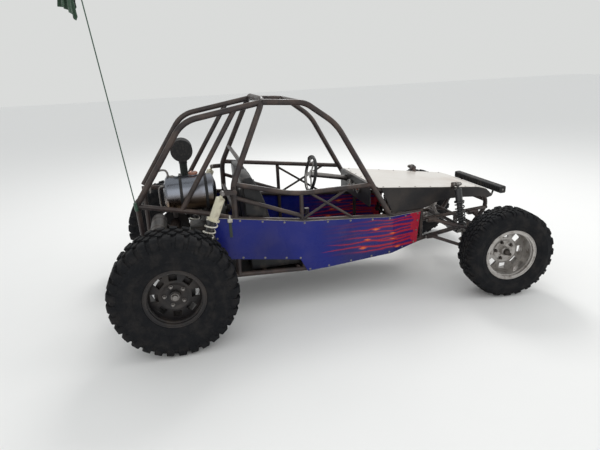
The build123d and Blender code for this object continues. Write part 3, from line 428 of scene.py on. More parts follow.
def lug(points, thick, count, phase=0.0, tilt=0.0, edge=0.0022):
    """One lug or rib from its (across, radius) outline, repeated round Y."""
    piece = slab([(-thick / 2, across, radius) for across, radius in points], (thick, 0, 0), edge, 1)
    bpy.ops.mesh.select_all(action="SELECT")
    middle = sum((Vector((0, across, radius)) for across, radius in points), Vector()) / len(points)
    step = math.tau / count
    bpy.ops.transform.rotate(value=tilt, orient_axis="Z", center_override=middle)
    bpy.ops.transform.rotate(value=phase * step, orient_axis="Y", center_override=(0, 0, 0))
    bpy.ops.mesh.spin(
        steps=count - 1, dupli=True, angle=step * (count - 1), center=(0, 0, 0), axis=(0, 1, 0)
    )
    bpy.ops.object.mode_set(mode="OBJECT")
    return piece


def mirrored(points):
    return [(-across, radius) for across, radius in points]


rubber, place = finish("tyre_rubber", Specular_IOR_Level=0.15)
turn_dust = place.grain(14.0, 5.0, 0.6).step(0.40, 0.72)
upper = place.grain(90.0, 3.0, 0.6).step(0.5, 0.8)
shade = (upper * 0.5).mixed((0.0065, 0.0070, 0.0085), (0.022, 0.022, 0.024))
(turn_dust * 0.10).mixed(shade, (0.12, 0.100, 0.085)).drive("Base Color")
place.dull(0.25, 0.62, 30.0)
place.grain(380.0, 3.0, 0.6).relief(0.0005, 0.5)

# Half of the rear tyre's section, then its lugs: (across, radius)
rear_half = (
    (0.1272, 0.1905), (0.1272, 0.2082), (0.1350, 0.2090), (0.1420, 0.2160), (0.1445, 0.2300),
    (0.1500, 0.2550), (0.1518, 0.2640), (0.1536, 0.2655), (0.1538, 0.2675), (0.1524, 0.2690),
    (0.1560, 0.2900), (0.1578, 0.3130), (0.1588, 0.3150), (0.1588, 0.3180), (0.1580, 0.3200),
    (0.1585, 0.3300), (0.1565, 0.3620), (0.1500, 0.3900),
    (0.1390, 0.4050), (0.1150, 0.4150), (0.0600, 0.4195), (0.0000, 0.4205),
)
rear_shoulder = (
    (0.070, 0.412), (0.070, 0.4355), (0.118, 0.4350), (0.1420, 0.4250), (0.1570, 0.3980),
    (0.1585, 0.3700), (0.1530, 0.3640), (0.1440, 0.3900), (0.1300, 0.4060),
)
rear_biter = ((0.1440, 0.384), (0.1590, 0.372), (0.1590, 0.348), (0.1520, 0.340))
rear_block = ((0.010, 0.416), (0.010, 0.4362), (0.056, 0.4358), (0.056, 0.414))
front_half = (
    (0.0912, 0.1905), (0.0912, 0.2082), (0.0990, 0.2090), (0.1060, 0.2150), (0.1100, 0.2280),
    (0.1170, 0.2480), (0.1188, 0.2495), (0.1190, 0.2520), (0.1176, 0.2540), (0.1205, 0.2750),
    (0.1218, 0.2900), (0.1222, 0.2920), (0.1220, 0.2950), (0.1206, 0.2980), (0.1170, 0.3200),
    (0.1080, 0.3370),
    (0.0960, 0.3470), (0.0600, 0.3535), (0.0000, 0.3550),
)
front_shoulder = (
    (0.072, 0.348), (0.072, 0.3618), (0.092, 0.3608), (0.1060, 0.3530), (0.1140, 0.3400),
    (0.1160, 0.3260), (0.1120, 0.3240), (0.1040, 0.3380),
)
front_rib = ((0.040, 0.350), (0.040, 0.3628), (0.066, 0.3624), (0.066, 0.348))
front_block = band(0.006, 0.034, 0.351, 0.3630)
# Each tyre: (half section, number of lugs round it, its rows of lugs on one half as (outline,
# thickness, phases, tilt, phase that the same row has more of on the other half))
tyre_forms = {
    "rear": (rear_half, 32, (
        (rear_shoulder, 0.050, (0.0,), 0.0, 0.5),
        (rear_biter, 0.022, (0.5,), 0.0, -0.5),
        (rear_block, 0.044, (0.42,), 0.5, 0.5),
    )),
    "front": (front_half, 24, (
        (front_shoulder, 0.022, (-0.14, 0.14), 0.0, 0.5),
        (front_rib, 0.030, (0.25, 0.75), 0.3, -0.25),
        (front_block, 0.034, (0.10, 0.60), -0.3, 0.25),
    )),
}
steer_at_rest = math.radians(-7.5)
wheels = [(end, side) for end in ("rear", "front") for side in ("left", "right")]


def wheel_place(end, side):
    """The middle of a wheel, and the turn that brings its outer face from +Y to its own side."""
    low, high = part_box(f"tyre_{end}_{side}")
    angle = (0.0 if side == "left" else math.pi) + (steer_at_rest if end == "front" else 0.0)
    return (low + high) / 2, Matrix.Rotation(angle, 3, "Z").to_quaternion()


for end, side in wheels:
    half, count, rows = tyre_forms[end]
    parts = [turned(list(half) + mirrored(half[-2::-1]), 96)]
    for points, thick, phases, tilt, more in rows:
        parts += [lug(points, thick, count, phase, tilt) for phase in phases]
    for points, thick, phases, tilt, more in rows:
        parts += [lug(mirrored(points), thick, count, phase + more, tilt) for phase in phases]
    tyre = set_at(joined(parts), *wheel_place(end, side))
    finished(f"tread_tyre_{end}_{side}", tyre, rubber, 30.0, f"wheel_{end}_{side}")
    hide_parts(f"tyre_{end}_{side}")

# Wheel finishes. The front wheels are bare silver steel with brown dust in their corners, and
# the rear ones deep and black. All have five nuts and a valve, and the front ones have hub caps.
silver_wheel, place = finish("silver_wheel", Metallic=0.75)
grime = place.grain(22.0, 5.0, 0.65).step(0.45, 0.75)
(grime * 0.75).mixed((0.42, 0.40, 0.38), (0.13, 0.10, 0.08)).drive("Base Color")
(grime * 0.25 + 0.33).drive("Roughness")
place.grain(120.0, 4.0).relief(0.0006, 0.4)
dress(silver_wheel, "rim_front_left", "rim_front_right")


def mottled(name, patch, edges, low, high, rough, bump, **sockets):
    """A finish of the high tone in patches over the low one: the patches' grain and edges, the
    tones, the roughness as grain, share and base, and the relief as grain, depth and strength."""
    material, place = finish(name, **sockets)
    patches = place.grain(*patch)
    if edges:
        patches = patches.step(*edges)
    patches.mixed(low, high).drive("Base Color")
    *grain, share, base = rough
    place.dull(share, base, *grain)
    *grain, depth, strength = bump
    place.grain(*grain).relief(depth, strength)
    return material


steel = mottled(
    "steel", (30.0, 4.0), (), (0.32, 0.31, 0.30), (0.16, 0.14, 0.13),
    (60.0, 3.0, 0.3, 0.25), (200.0, 0.0003, 0.3), Metallic=1.0,
)
dark_steel = mottled(
    "dark_steel", (30.0, 4.0), (), (0.040, 0.036, 0.034), (0.085, 0.070, 0.060),
    (60.0, 3.0, 0.3, 0.35), (200.0, 0.0003, 0.3), Metallic=0.6,
)
nut_circle = 0.06985
# Each end's depth of the disc's face from the wheel's middle
disc_face = {"rear": 0.068, "front": -0.020}


def nut(place, axis, across, tall):
    """A six-sided nut with a rounded top and a washer under it."""
    bpy.ops.mesh.primitive_cylinder_add(vertices=6, radius=across / 2, depth=tall, location=(0, 0, tall / 2))
    head = bpy.context.object
    select_only(head)
    edit_all()
    bpy.ops.mesh.bevel(offset=across * 0.07, segments=1)
    bpy.ops.object.mode_set(mode="OBJECT")
    bpy.ops.mesh.primitive_cylinder_add(
        vertices=20, radius=across * 0.62, depth=tall * 0.2, location=(0, 0, tall * 0.1)
    )
    head = joined([head, bpy.context.object])
    bpy.ops.object.transform_apply(location=True, rotation=True, scale=True)
    return set_at(head, place, Vector(axis).to_track_quat("Z", "Y"))


# Each end: (half the rim's width, rim finish, nut finish, hub end's depth, hub end's radius)
wheel_trim = {
    "rear": (0.134, black_paint, steel, 0.094, 0.033),
    "front": (0.098, silver_wheel, dark_steel, 0.024, 0.027),
}
lip_round = 0.0045
lip_radius = 0.2062
for end, side in wheels:
    middle, turn = wheel_place(end, side)
    body = f"wheel_{end}_{side}"
    out = turn @ Vector((0, 1, 0))
    edge, rim_skin, nut_skin, hub_end, hub_radius = wheel_trim[end]
    nuts = []
    for number in range(5):
        angle = number * math.tau / 5 + 0.3
        spot = Vector((nut_circle * math.sin(angle), disc_face[end], nut_circle * math.cos(angle)))
        nuts.append(nut(middle + turn @ spot, out, 0.022, 0.018))
    if end == "rear":
        nuts.append(nut(middle + out * hub_end, out, 0.046, 0.022))
    finished(f"wheel_nuts_{end}_{side}", nuts, nut_skin, body=body)
    angles = [step * math.tau / 10 for step in range(10)]
    lip = [(edge + lip_round * math.sin(a), lip_radius + lip_round * math.cos(a)) for a in angles]
    well = [
        (edge - 0.044, 0.1842), (edge - 0.042, 0.1775), (edge - 0.038, 0.1755), (edge - 0.026, 0.1755),
        (edge - 0.022, 0.1775), (edge - 0.020, 0.1842),
    ]
    stem = [
        (edge - 0.032, 0.0), (edge - 0.032, 0.0045), (edge - 0.016, 0.0040), (edge - 0.014, 0.0030),
        (edge - 0.006, 0.0030), (edge - 0.006, 0.0),
    ]
    rings = [turned(lip, 72), turned(well, 72), turned(stem, 12, Vector((0.070, 0.0, 0.155)))]
    finished(f"rim_trim_{end}_{side}", set_at(joined(rings), middle, turn), rim_skin, body=body)
    if end == "front":
        cap = [
            (hub_end - 0.006, 0.0), (hub_end - 0.006, hub_radius), (hub_end + 0.002, hub_radius),
            (hub_end + 0.014, hub_radius - 0.003), (hub_end + 0.021, hub_radius - 0.009),
            (hub_end + 0.023, hub_radius - 0.018), (hub_end + 0.023, 0.0),
        ]
        finished(f"hub_cap_{side}", turned(cap, 32, middle, turn), dark_steel, body=body)

# Coil springs. Wound steel wire between two seats on each damper, dark in front and white behind.
spring_white = mottled(
    "spring_white", (25.0, 5.0), (0.5, 0.75), (0.66, 0.63, 0.55), (0.30, 0.25, 0.20),
    (40.0, 0.3, 0.3), (200.0, 0.0004, 0.3), Coat_Weight=0.3,
)
shock_black = mottled(
    "shock_black", (25.0, 5.0), (0.5, 0.8), (0.02, 0.02, 0.022), (0.10, 0.085, 0.07),
    (40.0, 0.3, 0.3), (200.0, 0.0004, 0.3), Coat_Weight=0.3,
)
shock_ivory = mottled(
    "shock_ivory", (18.0, 5.0), (0.5, 0.75), (0.60, 0.56, 0.42), (0.26, 0.21, 0.15),
    (40.0, 0.25, 0.25), (150.0, 0.0004, 0.3), Coat_Weight=0.4,
)


def rod(points, thick, kind="POLY", around=4):
    """A round rod, pipe or wire along points."""
    curve = bpy.data.curves.new("line", "CURVE")
    curve.dimensions = "3D"
    curve.use_fill_caps = True
    curve.bevel_depth = thick / 2
    curve.bevel_resolution = around
    curve.resolution_u = 8
    spline = curve.splines.new(kind)
    spline.points.add(len(points) - 1)
    for spot, point in zip(spline.points, points):
        spot.co = (*point, 1.0)
    spline.order_u = 4 if kind == "NURBS" else 2
    spline.use_endpoint_u = True
    piece = bpy.data.objects.new("rod", curve)
    bpy.context.scene.collection.objects.link(piece)
    select_only(piece)
    bpy.ops.object.convert(target="MESH")
    return bpy.context.object


def coil(turns, radius, wire, start, end):
    """A helical spring about Y, its turns spaced wider at both ends than in the middle."""
    steps = 20
    points = []
    for number in range(int(turns * steps) + 1):
        share = number / (turns * steps)
        eased = share + 0.045 * math.sin(math.tau * share)
        angle = number * math.tau / steps
        along = start + (end - start) * eased
        points.append((radius * math.sin(angle), along, radius * math.cos(angle)))
    return rod(points, wire, around=3)


wheelbase = 2.631
axle_front = axle_place + wheelbase
# Each coil-over: (end, its axle, foot, top as station, side, height; body radius, spring radius,
# spring start and length up from the foot, turns, wire, spring finish, body finish)
coil_overs = (
    ("front", axle_front, (-0.203, 0.478, 0.392), (-0.251, 0.424, 0.868), 0.026, 0.042, 0.075, 0.250, 8,
     0.0105, shock_black, shock_black),
    ("rear", axle_place, (0.150, 0.533, 0.452), (0.405, 0.533, 1.030), 0.030, 0.048, 0.090, 0.330, 8,
     0.0125, spring_white, shock_ivory),
)
for end, axle, foot, top, body, spring, start, length, turns, wire, spring_skin, body_skin in coil_overs:
    bodies, springs, rods, tubes = [], [], [], []
    for side in (1, -1):
        low = Vector((axle + foot[0], side * foot[1], foot[2]))
        high = Vector((axle + top[0], side * top[1], top[2]))
        span = (high - low).length
        turn = (high - low).to_track_quat("Y", "Z")
        last = start + length
        outline = [
            (last, 0.0), (last, spring + 0.001), (last + 0.010, spring + 0.001),
            (last + 0.012, body + 0.004), (span - 0.040, body + 0.004), (span - 0.034, body - 0.004),
            (span - 0.028, 0.011), (span - 0.010, 0.011), (span - 0.010, 0.0),
        ]
        bodies.append(turned(outline, 32, low, turn))
        tube = [
            (start + 0.03, 0.0), (start + 0.03, body - 0.006), (start + 0.045, body - 0.002),
            (last + 0.002, body - 0.002), (last + 0.002, 0.0),
        ]
        tubes.append(turned(tube, 32, low, turn))
        seat = [
            (start - 0.012, 0.010), (start - 0.012, spring - 0.006), (start - 0.008, spring),
            (start - 0.001, spring), (start - 0.001, 0.010),
        ]
        rods.append(turned(seat, 32, low, turn))
        rods.append(turned(band(0.012, start + 0.06, 0.0, 0.009), 20, low, turn))
        eye = [
            (-0.018, 0.0072), (-0.018, 0.016), (-0.015, 0.0175), (0.015, 0.0175), (0.018, 0.016),
            (0.018, 0.0072),
        ]
        across = Vector((1, 0, 0)) if end == "front" else Vector((0, 1, 0))
        for spot in (low, high):
            rods.append(turned(eye, 28, spot, across.to_track_quat("Y", "Z")))
        wound = coil(turns, spring - wire / 2, wire, start + wire / 2, last - wire / 2)
        springs.append(set_at(wound, low, turn))
    dampers = finished(f"dampers_{end}", bodies, body_skin)
    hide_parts(f"{end}_shocks")
    finished(f"springs_{end}", springs, spring_skin, 60.0)
    finished(f"damper_rods_{end}", rods, steel)
    finished(f"damper_tubes_{end}", tubes, shock_black)

# Engine, gearbox and rack. Cast light alloy, grey with oil and dust between its ribs, and a darker
# engine block. The steering's rods are bare steel.
cast_tone = (0.20, 0.195, 0.19)
oil_tone = (0.040, 0.034, 0.030)
cast_alloy, place = finish("cast_alloy", Metallic=0.55)
oil = place.grain(9.0, 6.0, 0.65).step(0.40, 0.68)
(oil * 0.8).mixed(cast_tone, oil_tone).drive("Base Color")
(0.62 - oil * 0.2).drive("Roughness")
place.grain(240.0, 4.0).relief(0.0008, 0.5)
dress(cast_alloy, "engine_cylinders", "transaxle", "rack_housing")
# The intake is alloy up to the carburettor's neck, and a dark rubber duct above it.
intake_skin, place = finish("intake_skin", Specular_IOR_Level=0.3)
duct = place.part(2).step(0.778, 0.782)
oil = place.grain(9.0, 6.0, 0.65).step(0.40, 0.68)
alloy = (oil * 0.8).mixed(cast_tone, oil_tone)
duct.mixed(alloy, (0.016, 0.020, 0.017)).drive("Base Color")
((1.0 - duct) * 0.55).drive("Metallic")
place.dull(0.2, 0.5, 40.0)
((duct * (place.part(2) * 520.0).wave()) + place.grain(240.0, 4.0) * 0.4).relief(0.0012, 0.5)
dress(intake_skin, "intake")
dark_cast = mottled(
    "dark_cast", (12.0, 6.0, 0.65), (0.45, 0.75), (0.035, 0.033, 0.033), (0.085, 0.066, 0.052),
    (30.0, 0.3, 0.4), (240.0, 4.0, 0.0008, 0.5), Metallic=0.35,
)
dress(dark_cast, "engine_block")
dress(steel, "steering_rack", "tie_rod_left", "tie_rod_right", "steering_column", "gear_lever")

# Fuel tank. A spun aluminium drum, polished along its turning marks. Its colour holds a painted reflection by
# height: painted dark shade low down, a painted reflection of brown ground above that, and a painted
# reflection of blue grey sky on top.
tank_alloy, place = finish("tank_alloy", Metallic=1.0)
marks = place.stretched((60.0, 1.0, 1.0)).grain(6.0, 3.0, 0.6)
haze = place.grain(6.0, 4.0).step(0.4, 0.8)
level = place.part(2)
# Painted reflection and shade by height: painted dark shade at the bottom, a painted brown ground reflection
# in the middle and a painted blue grey sky reflection on top.
painted_reflection = level.step(0.90, 1.02).mixed((0.22, 0.145, 0.085), (0.200, 0.215, 0.250))
painted_reflection = level.step(0.83, 0.93).mixed((0.050, 0.043, 0.042), painted_reflection)
(haze * 0.4).mixed(painted_reflection, (0.13, 0.10, 0.08)).drive("Base Color")
(marks * 0.12 + haze * 0.18 + 0.20).drive("Roughness")
marks.relief(0.0003, 0.35)
dress(tank_alloy, "fuel_tank")

# Air filter. A round element of oiled black foam on a rubber stalk, with dust caught in its open
# pores.
foam, place = finish("filter_foam")
caught = place.grain(60.0, 3.0).step(0.4, 0.7) * 0.5
caught.mixed((0.014, 0.014, 0.015), (0.05, 0.045, 0.04)).drive("Base Color")
place.dull(0.1, 0.85, 30.0)
place.cells(420.0).relief(0.0015, 0.6)
dress(foam, "air_filter")

# Black plastic. The light bar's housing, and later the small caps, straps and boots, in one dull
# black that fine dust has greyed.
black_plastic = mottled(
    "black_plastic", (20.0, 4.0), (0.5, 0.8), (0.018, 0.018, 0.019), (0.06, 0.052, 0.045),
    (50.0, 0.2, 0.45), (500.0, 2.0, 0.0003, 0.5), Specular_IOR_Level=0.25,
)
dress(black_plastic, "light_bar")

# Whip. A thin rod of dark green glass fibre, slightly glossy, that stands on a spring foot behind
# the tank.
green_rod = mottled(
    "green_rod", (9.0, 3.0), (), (0.010, 0.045, 0.022), (0.020, 0.070, 0.040),
    (50.0, 0.2, 0.3), (200.0, 0.0002, 0.3), Coat_Weight=0.4,
)
dress(green_rod, "whip")

# Flag. A small limp cloth, dark green, tied along the whip's top and hanging in folds. It starts
# flat and falls under its own weight, held along its hoist.
def spot_at(station, side, height):
    """A place on the buggy, its station counted forward from the rear axle line."""
    return Vector((axle_place + station, side, height))


def settled(piece, frames, cap=None):
    """Run a piece's cloth and keep its last shape, with no point moved further than the cap."""
    before = [point.co.copy() for point in piece.data.vertices]
    for number in range(1, frames + 1):
        bpy.context.scene.frame_set(number)
    shape = piece.evaluated_get(bpy.context.evaluated_depsgraph_get()).to_mesh()
    after = [point.co.copy() for point in shape.vertices]
    piece.modifiers.clear()
    bpy.context.scene.frame_set(1)
    for point, old, new in zip(piece.data.vertices, before, after):
        move = new - old
        if cap and move.length > cap:
            move.length = cap
        point.co = old + move


flag_cloth, place = finish("flag_cloth", Sheen_Weight=0.3)
place.grain(12.0, 4.0).mixed((0.020, 0.055, 0.030), (0.045, 0.085, 0.050)).drive("Base Color")
place.dull(0.1, 0.8, 30.0)
weave_pitch = 9000.0
weave = (place.part(0) * weave_pitch).wave() * (place.part(2) * weave_pitch).wave()
weave.relief(0.0003, 0.4)
flag_fly = 0.45
flag_hoist = 0.30
fall_frames = 90
whip_radius = 0.0055
whip_length = 1.745
whip_lean = Vector((-0.086, 0.0, 1.0)).normalized()
whip_top = spot_at(-0.215, -0.372, 0.985) + whip_lean * whip_length
across = 45
down = 30
corners = []
for row in range(down + 1):
    for column in range(across + 1):
        fly = flag_fly * column / across
        ripple = 0.0015 * math.sin(fly * 60.0) * min(1.0, column / 5)
        hoist_spot = whip_top - whip_lean * flag_hoist * row / down
        corners.append(hoist_spot + Vector((-whip_radius - fly, ripple, 0.0)))
quads = []
for row in range(down):
    for column in range(across):
        first = row * (across + 1) + column
        quads.append((first, first + 1, first + across + 2, first + across + 1))
flag = mesh_piece(corners, [], quads)
hoist = flag.vertex_groups.new(name="hoist")
hoist.add([row * (across + 1) for row in range(down + 1)], 1.0, "REPLACE")
cloth = flag.modifiers.new("fall", "CLOTH")
cloth.settings.vertex_group_mass = "hoist"
cloth.settings.quality = 6
cloth.settings.mass = 0.12
cloth.settings.air_damping = 4.0
cloth.settings.tension_stiffness = 12
cloth.settings.compression_stiffness = 12
cloth.settings.bending_stiffness = 0.05
cloth.collision_settings.use_self_collision = True
cloth.collision_settings.self_distance_min = 0.004
cloth.point_cache.frame_end = fall_frames
settled(flag, fall_frames)
finished("whip_flag", flag, flag_cloth, 60.0)
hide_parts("flag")
ties = []
for share in (0.02, 0.5, 0.98):
    spot = whip_top - whip_lean * flag_hoist * share
    ties.append(turned(band(-0.004, 0.004, 0.0042, 0.0062), 16, spot, whip_lean.to_track_quat("Y", "X")))
finished("flag_ties", ties, black_plastic)

# Seats. Each is a black bucket shell that carries a base pad, a back pad sewn in cross channels,
# and a soft roll along each edge, all in black grained vinyl with piping along the seams.
seat_vinyl, place = finish("seat_vinyl", Sheen_Weight=0.03, Specular_IOR_Level=0.3)
place.grain(8.0, 4.0).step(0.4, 0.8).mixed((0.013, 0.0125, 0.014), (0.040, 0.035, 0.032)).drive("Base Color")
place.dull(0.2, 0.42, 40.0)
place.cells(700.0).relief(0.0006, 0.4)
seat_shell = mottled(
    "seat_shell", (14.0, 4.0), (0.45, 0.8), (0.012, 0.012, 0.013), (0.060, 0.050, 0.042),
    (30.0, 0.25, 0.3), (90.0, 3.0, 0.0005, 0.4), Coat_Weight=0.1, Specular_IOR_Level=0.25,
)
seat_side = 0.220
seat_half = 0.190
pad_half = 0.132
shell_middle = (
    (0.590, 0.348), (1.048, 0.348), (1.080, 0.405), (1.058, 0.425), (0.745, 0.388), (0.652, 1.052),
    (0.640, 1.098), (0.571, 1.088),
)
shell_wall = (
    (0.590, 0.348), (1.048, 0.348), (1.080, 0.405), (1.050, 0.462), (0.880, 0.470), (0.780, 0.600),
    (0.705, 0.960), (0.636, 1.098), (0.571, 1.088),
)
roll_route = (
    (1.055, 0.452), (0.960, 0.474), (0.860, 0.482), (0.786, 0.600), (0.752, 0.760), (0.712, 0.940),
    (0.650, 1.060),
)
roll_thick = 0.046
shell_wall_thick = 0.018
pad_voxel = 0.0075
pad_back_inset = 0.004
air_frames = 16
air_pressure = 4.0
most_swelling = 0.012
channel_depth = 0.010
channel_width = 0.0065
channel_half = pad_half - 0.004
# Each pad: (front or foot of its face, back or head of it as station, height; thickness, number of
# sewn channels across it)
pad_table = (((1.050, 0.450), (0.785, 0.420), 0.058, 3), ((0.766, 0.450), (0.684, 1.010), 0.060, 7))


def plate(outline, low, high, bevel):
    """A flat plate from its side outline, between two places across, with rounded edges."""
    piece = slab([(axle_place + x, low, z) for x, z in outline], (0, high - low, 0), bevel, 3)
    bpy.ops.object.mode_set(mode="OBJECT")
    return piece


def pad(foot, head, thick, channels):
    """A stuffed pad between two lines across the seat, inflated as cloth, with channels sewn in."""
    run = Vector((head[0] - foot[0], 0.0, head[1] - foot[1]))
    side = Vector((0, 1, 0))
    face = side.cross(run).normalized()
    face = face if face.z + face.x > 0 else -face
    middle = Vector((axle_place + (foot[0] + head[0]) / 2, 0, (foot[1] + head[1]) / 2)) - face * thick / 2
    bpy.ops.mesh.primitive_cube_add(size=1.0)
    block = bpy.context.object
    block.scale = (run.length - 0.012, 2 * pad_half - 0.010, thick - 0.014)
    bpy.ops.object.transform_apply(location=True, rotation=True, scale=True)
    bpy.ops.object.modifier_add(type="BEVEL")
    block.modifiers[0].width = 0.018
    block.modifiers[0].segments = 3
    bpy.ops.object.modifier_add(type="REMESH")
    block.modifiers[1].mode = "VOXEL"
    block.modifiers[1].voxel_size = pad_voxel
    for name in [change.name for change in block.modifiers]:
        bpy.ops.object.modifier_apply(modifier=name)
    cloth = block.modifiers.new("air", "CLOTH")
    cloth.settings.use_pressure = True
    cloth.settings.uniform_pressure_force = air_pressure
    cloth.settings.effector_weights.gravity = 0.0
    cloth.settings.quality = 4
    cloth.point_cache.frame_end = air_frames
    settled(block, air_frames, most_swelling)
    for point in block.data.vertices:
        point.co.z = max(point.co.z, pad_back_inset - thick / 2)
    subdivided = block.modifiers.new("finer", "SUBSURF")
    subdivided.levels = 1
    bpy.ops.object.modifier_apply(modifier=subdivided.name)
    step = run.length / (channels + 1)
    for point in block.data.vertices:
        if point.co.z > 0 and abs(point.co.y) < channel_half:
            along = point.co.x + run.length / 2
            gap = min(abs(along - step * number) for number in range(1, channels + 1))
            fade = min(1.0, (channel_half - abs(point.co.y)) / 0.02)
            point.co.z -= channel_depth * math.exp(-((gap / channel_width) ** 2)) * fade
    turn = Matrix((run.normalized(), face.cross(run.normalized()), face)).transposed().to_quaternion()
    return set_at(block, middle, turn)


for side, label in ((1, "left"), (-1, "right")):
    across_place = Vector((0, side * seat_side, 0))
    inner = seat_half - shell_wall_thick
    pieces = [
        plate(shell_middle, -inner, inner, 0.006),
        plate(shell_wall, -seat_half, -inner, 0.006),
        plate(shell_wall, inner, seat_half, 0.006),
    ]
    shell = set_at(joined(pieces), across_place)
    finished(f"seat_shell_{label}", shell, seat_shell)
    if side == 1:
        pieces = [pad(*row) for row in pad_table]
        for edge in (1, -1):
            middle = edge * (seat_half - roll_thick / 2 - 0.010)
            line = [(axle_place + x - 0.012, middle, z + 0.004) for x, z in roll_route]
            pieces.append(rod(line, roll_thick, "NURBS", 6))
        soft = joined(pieces)
        twin = copied(soft)
    else:
        soft = twin
    set_at(soft, across_place)
    finished(f"seat_pads_{label}", soft, seat_vinyl, 70.0)
    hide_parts(f"seat_{label}")
    pieces = []
    for edge in (1, -1):
        seam = seat_half - roll_thick - 0.011
        line = [(axle_place + x + 0.009, side * seat_side + edge * seam, z + 0.010) for x, z in roll_route]
        pieces.append(rod(line, 0.006, "NURBS", 3))
    finished(f"seat_piping_{label}", pieces, black_plastic, 60.0)

# Steering wheel. A polished alloy hub and spokes inside a rim with a thick black rubber grip.
hand_wheel, place = finish("hand_wheel")
hub_place = (axle_place + 1.270, 0.220, 0.935)
reach = place.node("VectorMath", {"operation": "DISTANCE"}, {0: place, 1: hub_place}, 1)
grip = reach.step(0.140, 0.143)
grip.mixed((0.30, 0.29, 0.28), (0.016, 0.016, 0.017)).drive("Base Color")
(1.0 - grip).drive("Metallic")
(place.grain(60.0, 3.0) * 0.2 + grip * 0.25 + 0.25).drive("Roughness")
place.grain(320.0, 3.0).relief(0.0004, 0.5)
dress(hand_wheel, "steering_wheel")

# Panel fittings. Domed bolts hold each side panel along its edges, and a bright bead of trim runs
# along its top edge. A webbing strap with a pale clip hangs over the right one.
panel_face = 0.4754
panel_rake = 0.279
cowl_station = 1.770
top_edge = ((0.326, 0.832), (1.008, 0.724), (1.770, 0.668), (2.052, 0.657))
low_edge = ((0.326, 0.506), (0.975, 0.408), (1.030, 0.300), (1.220, 0.308), (1.770, 0.352), (2.010, 0.390))
bolt_inset = 0.013


def level_on(line, station):
    """The height of a line of (station, height) points at a station."""
    for (start, low), (end, high) in zip(line, line[1:]):
        if station <= end:
            return low + (high - low) * (station - start) / (end - start)
    return line[-1][1]


def on_panel(station, height, side):
    """A place on a side panel's outer face, and the way the face looks there."""
    ahead = max(0.0, station - cowl_station)
    out = Vector((panel_rake if ahead else 0.0, side, 0.0)).normalized()
    return spot_at(station, side * (panel_face - panel_rake * ahead), height), out


def button(place, axis, across, tall):
    """A domed bolt head with a socket in it, on a washer."""
    half = across / 2
    dome = [
        (-0.0005, 0.0), (-0.0005, half * 1.5), (tall * 0.2, half * 1.5), (tall * 0.25, half),
        (tall * 0.6, half * 0.93), (tall * 0.9, half * 0.65), (tall, half * 0.35),
        (tall * 0.7, half * 0.3), (tall * 0.7, 0.0),
    ]
    return turned(dome, 12, place, Vector(axis).to_track_quat("Y", "X"))


top_stations = (0.35, 0.52, 0.69, 0.86, 1.02, 1.21, 1.40, 1.59, 1.74, 1.90, 2.03)
low_stations = (0.35, 0.52, 0.69, 0.86, 0.975, 1.05, 1.21, 1.40, 1.58, 1.74, 1.87, 1.99)
bolt_spots = [(station, level_on(top_edge, station) - bolt_inset) for station in top_stations]
bolt_spots += [(station, level_on(low_edge, station) + bolt_inset) for station in low_stations]
bolt_spots += [(2.028, 0.585), (2.018, 0.500), (0.339, 0.670)]
heads, beads = [], []
for side in (1, -1):
    for station, height in bolt_spots:
        heads.append(button(*on_panel(station, height, side), 0.0115, 0.0042))
    line = []
    for station in (0.330, 1.008, 1.760, 2.050):
        spot, out = on_panel(station, level_on(top_edge, station) + 0.0015, side)
        line.append(spot - out * 0.0015)
    beads.append(rod(line, 0.0065, around=3))
finished("panel_bolts", heads, steel)
finished("panel_beads", beads, steel, 60.0)
webbing, place = finish("webbing", Sheen_Weight=0.2)
ribs = (place.part(0) * 2600.0).wave() * 0.5 + (place.part(2) * 1300.0).wave() * 0.5
(ribs * 0.15 + 0.5).mixed((0.022, 0.030, 0.022), (0.050, 0.062, 0.046)).drive("Base Color")
place.dull(0.1, 0.75, 30.0)
ribs.relief(0.0006, 0.5)
clip_pale = mottled(
    "clip_pale", (30.0, 4.0), (0.5, 0.8), (0.52, 0.50, 0.44), (0.24, 0.20, 0.16),
    (50.0, 0.2, 0.4), (200.0, 0.0003, 0.4),
)


def box_plate(back, front, foot, head, low, high, bevel):
    """An upright rectangular plate, from its stations, heights and places across."""
    return plate(((back, foot), (front, foot), (front, head), (back, head)), low, high, bevel)


right_face = -panel_face
strap = box_plate(0.434, 0.456, 0.668, 0.800, right_face - 0.0032, right_face - 0.0004, 0.0006)
finished("panel_strap", strap, webbing)
hook_outline = ((0.438, 0.812), (0.452, 0.812), (0.450, 0.842), (0.440, 0.842))
clip = [
    box_plate(0.427, 0.463, 0.786, 0.814, right_face - 0.0100, right_face - 0.0004, 0.0025),
    plate(hook_outline, right_face - 0.0080, right_face - 0.0020, 0.0015),
]
finished("strap_clip", clip, clip_pale)

# Light bar. A row of small lamps in bright bowls across the nose, with a bright bead above them
# and cooling fins behind.
lamp_bowl, place = finish("lamp_bowl", Metallic=0.9)
facets = place.cells(240.0)
(facets * 0.6).mixed((0.62, 0.64, 0.68), (0.30, 0.31, 0.34)).drive("Base Color")
place.dull(0.1, 0.08, 40.0)
facets.relief(0.0010, 0.5)
bar_face = 2.907
bar_height = 0.752
ahead_turn = Vector((1, 0, 0)).to_track_quat("Y", "Z")
bowl = [
    (-0.002, 0.0), (0.0008, 0.010), (0.0030, 0.020), (0.0042, 0.0235), (0.0042, 0.0258), (0.0, 0.0264),
    (-0.003, 0.0264), (-0.003, 0.0),
]
cells = [
    turned(bowl, 24, spot_at(bar_face, -0.330 + 0.060 * number, bar_height), ahead_turn)
    for number in range(12)
]
finished("lamp_cells", cells, lamp_bowl)
bead_line = [spot_at(bar_face - 0.010, side, bar_height + 0.0305) for side in (-0.352, 0.352)]
finished("lamp_bead", rod(bead_line, 0.0045), steel, 60.0)
first_fin = box_plate(2.8405, 2.8478, 0.728, 0.776, -0.0015, 0.0015, 0.0006)
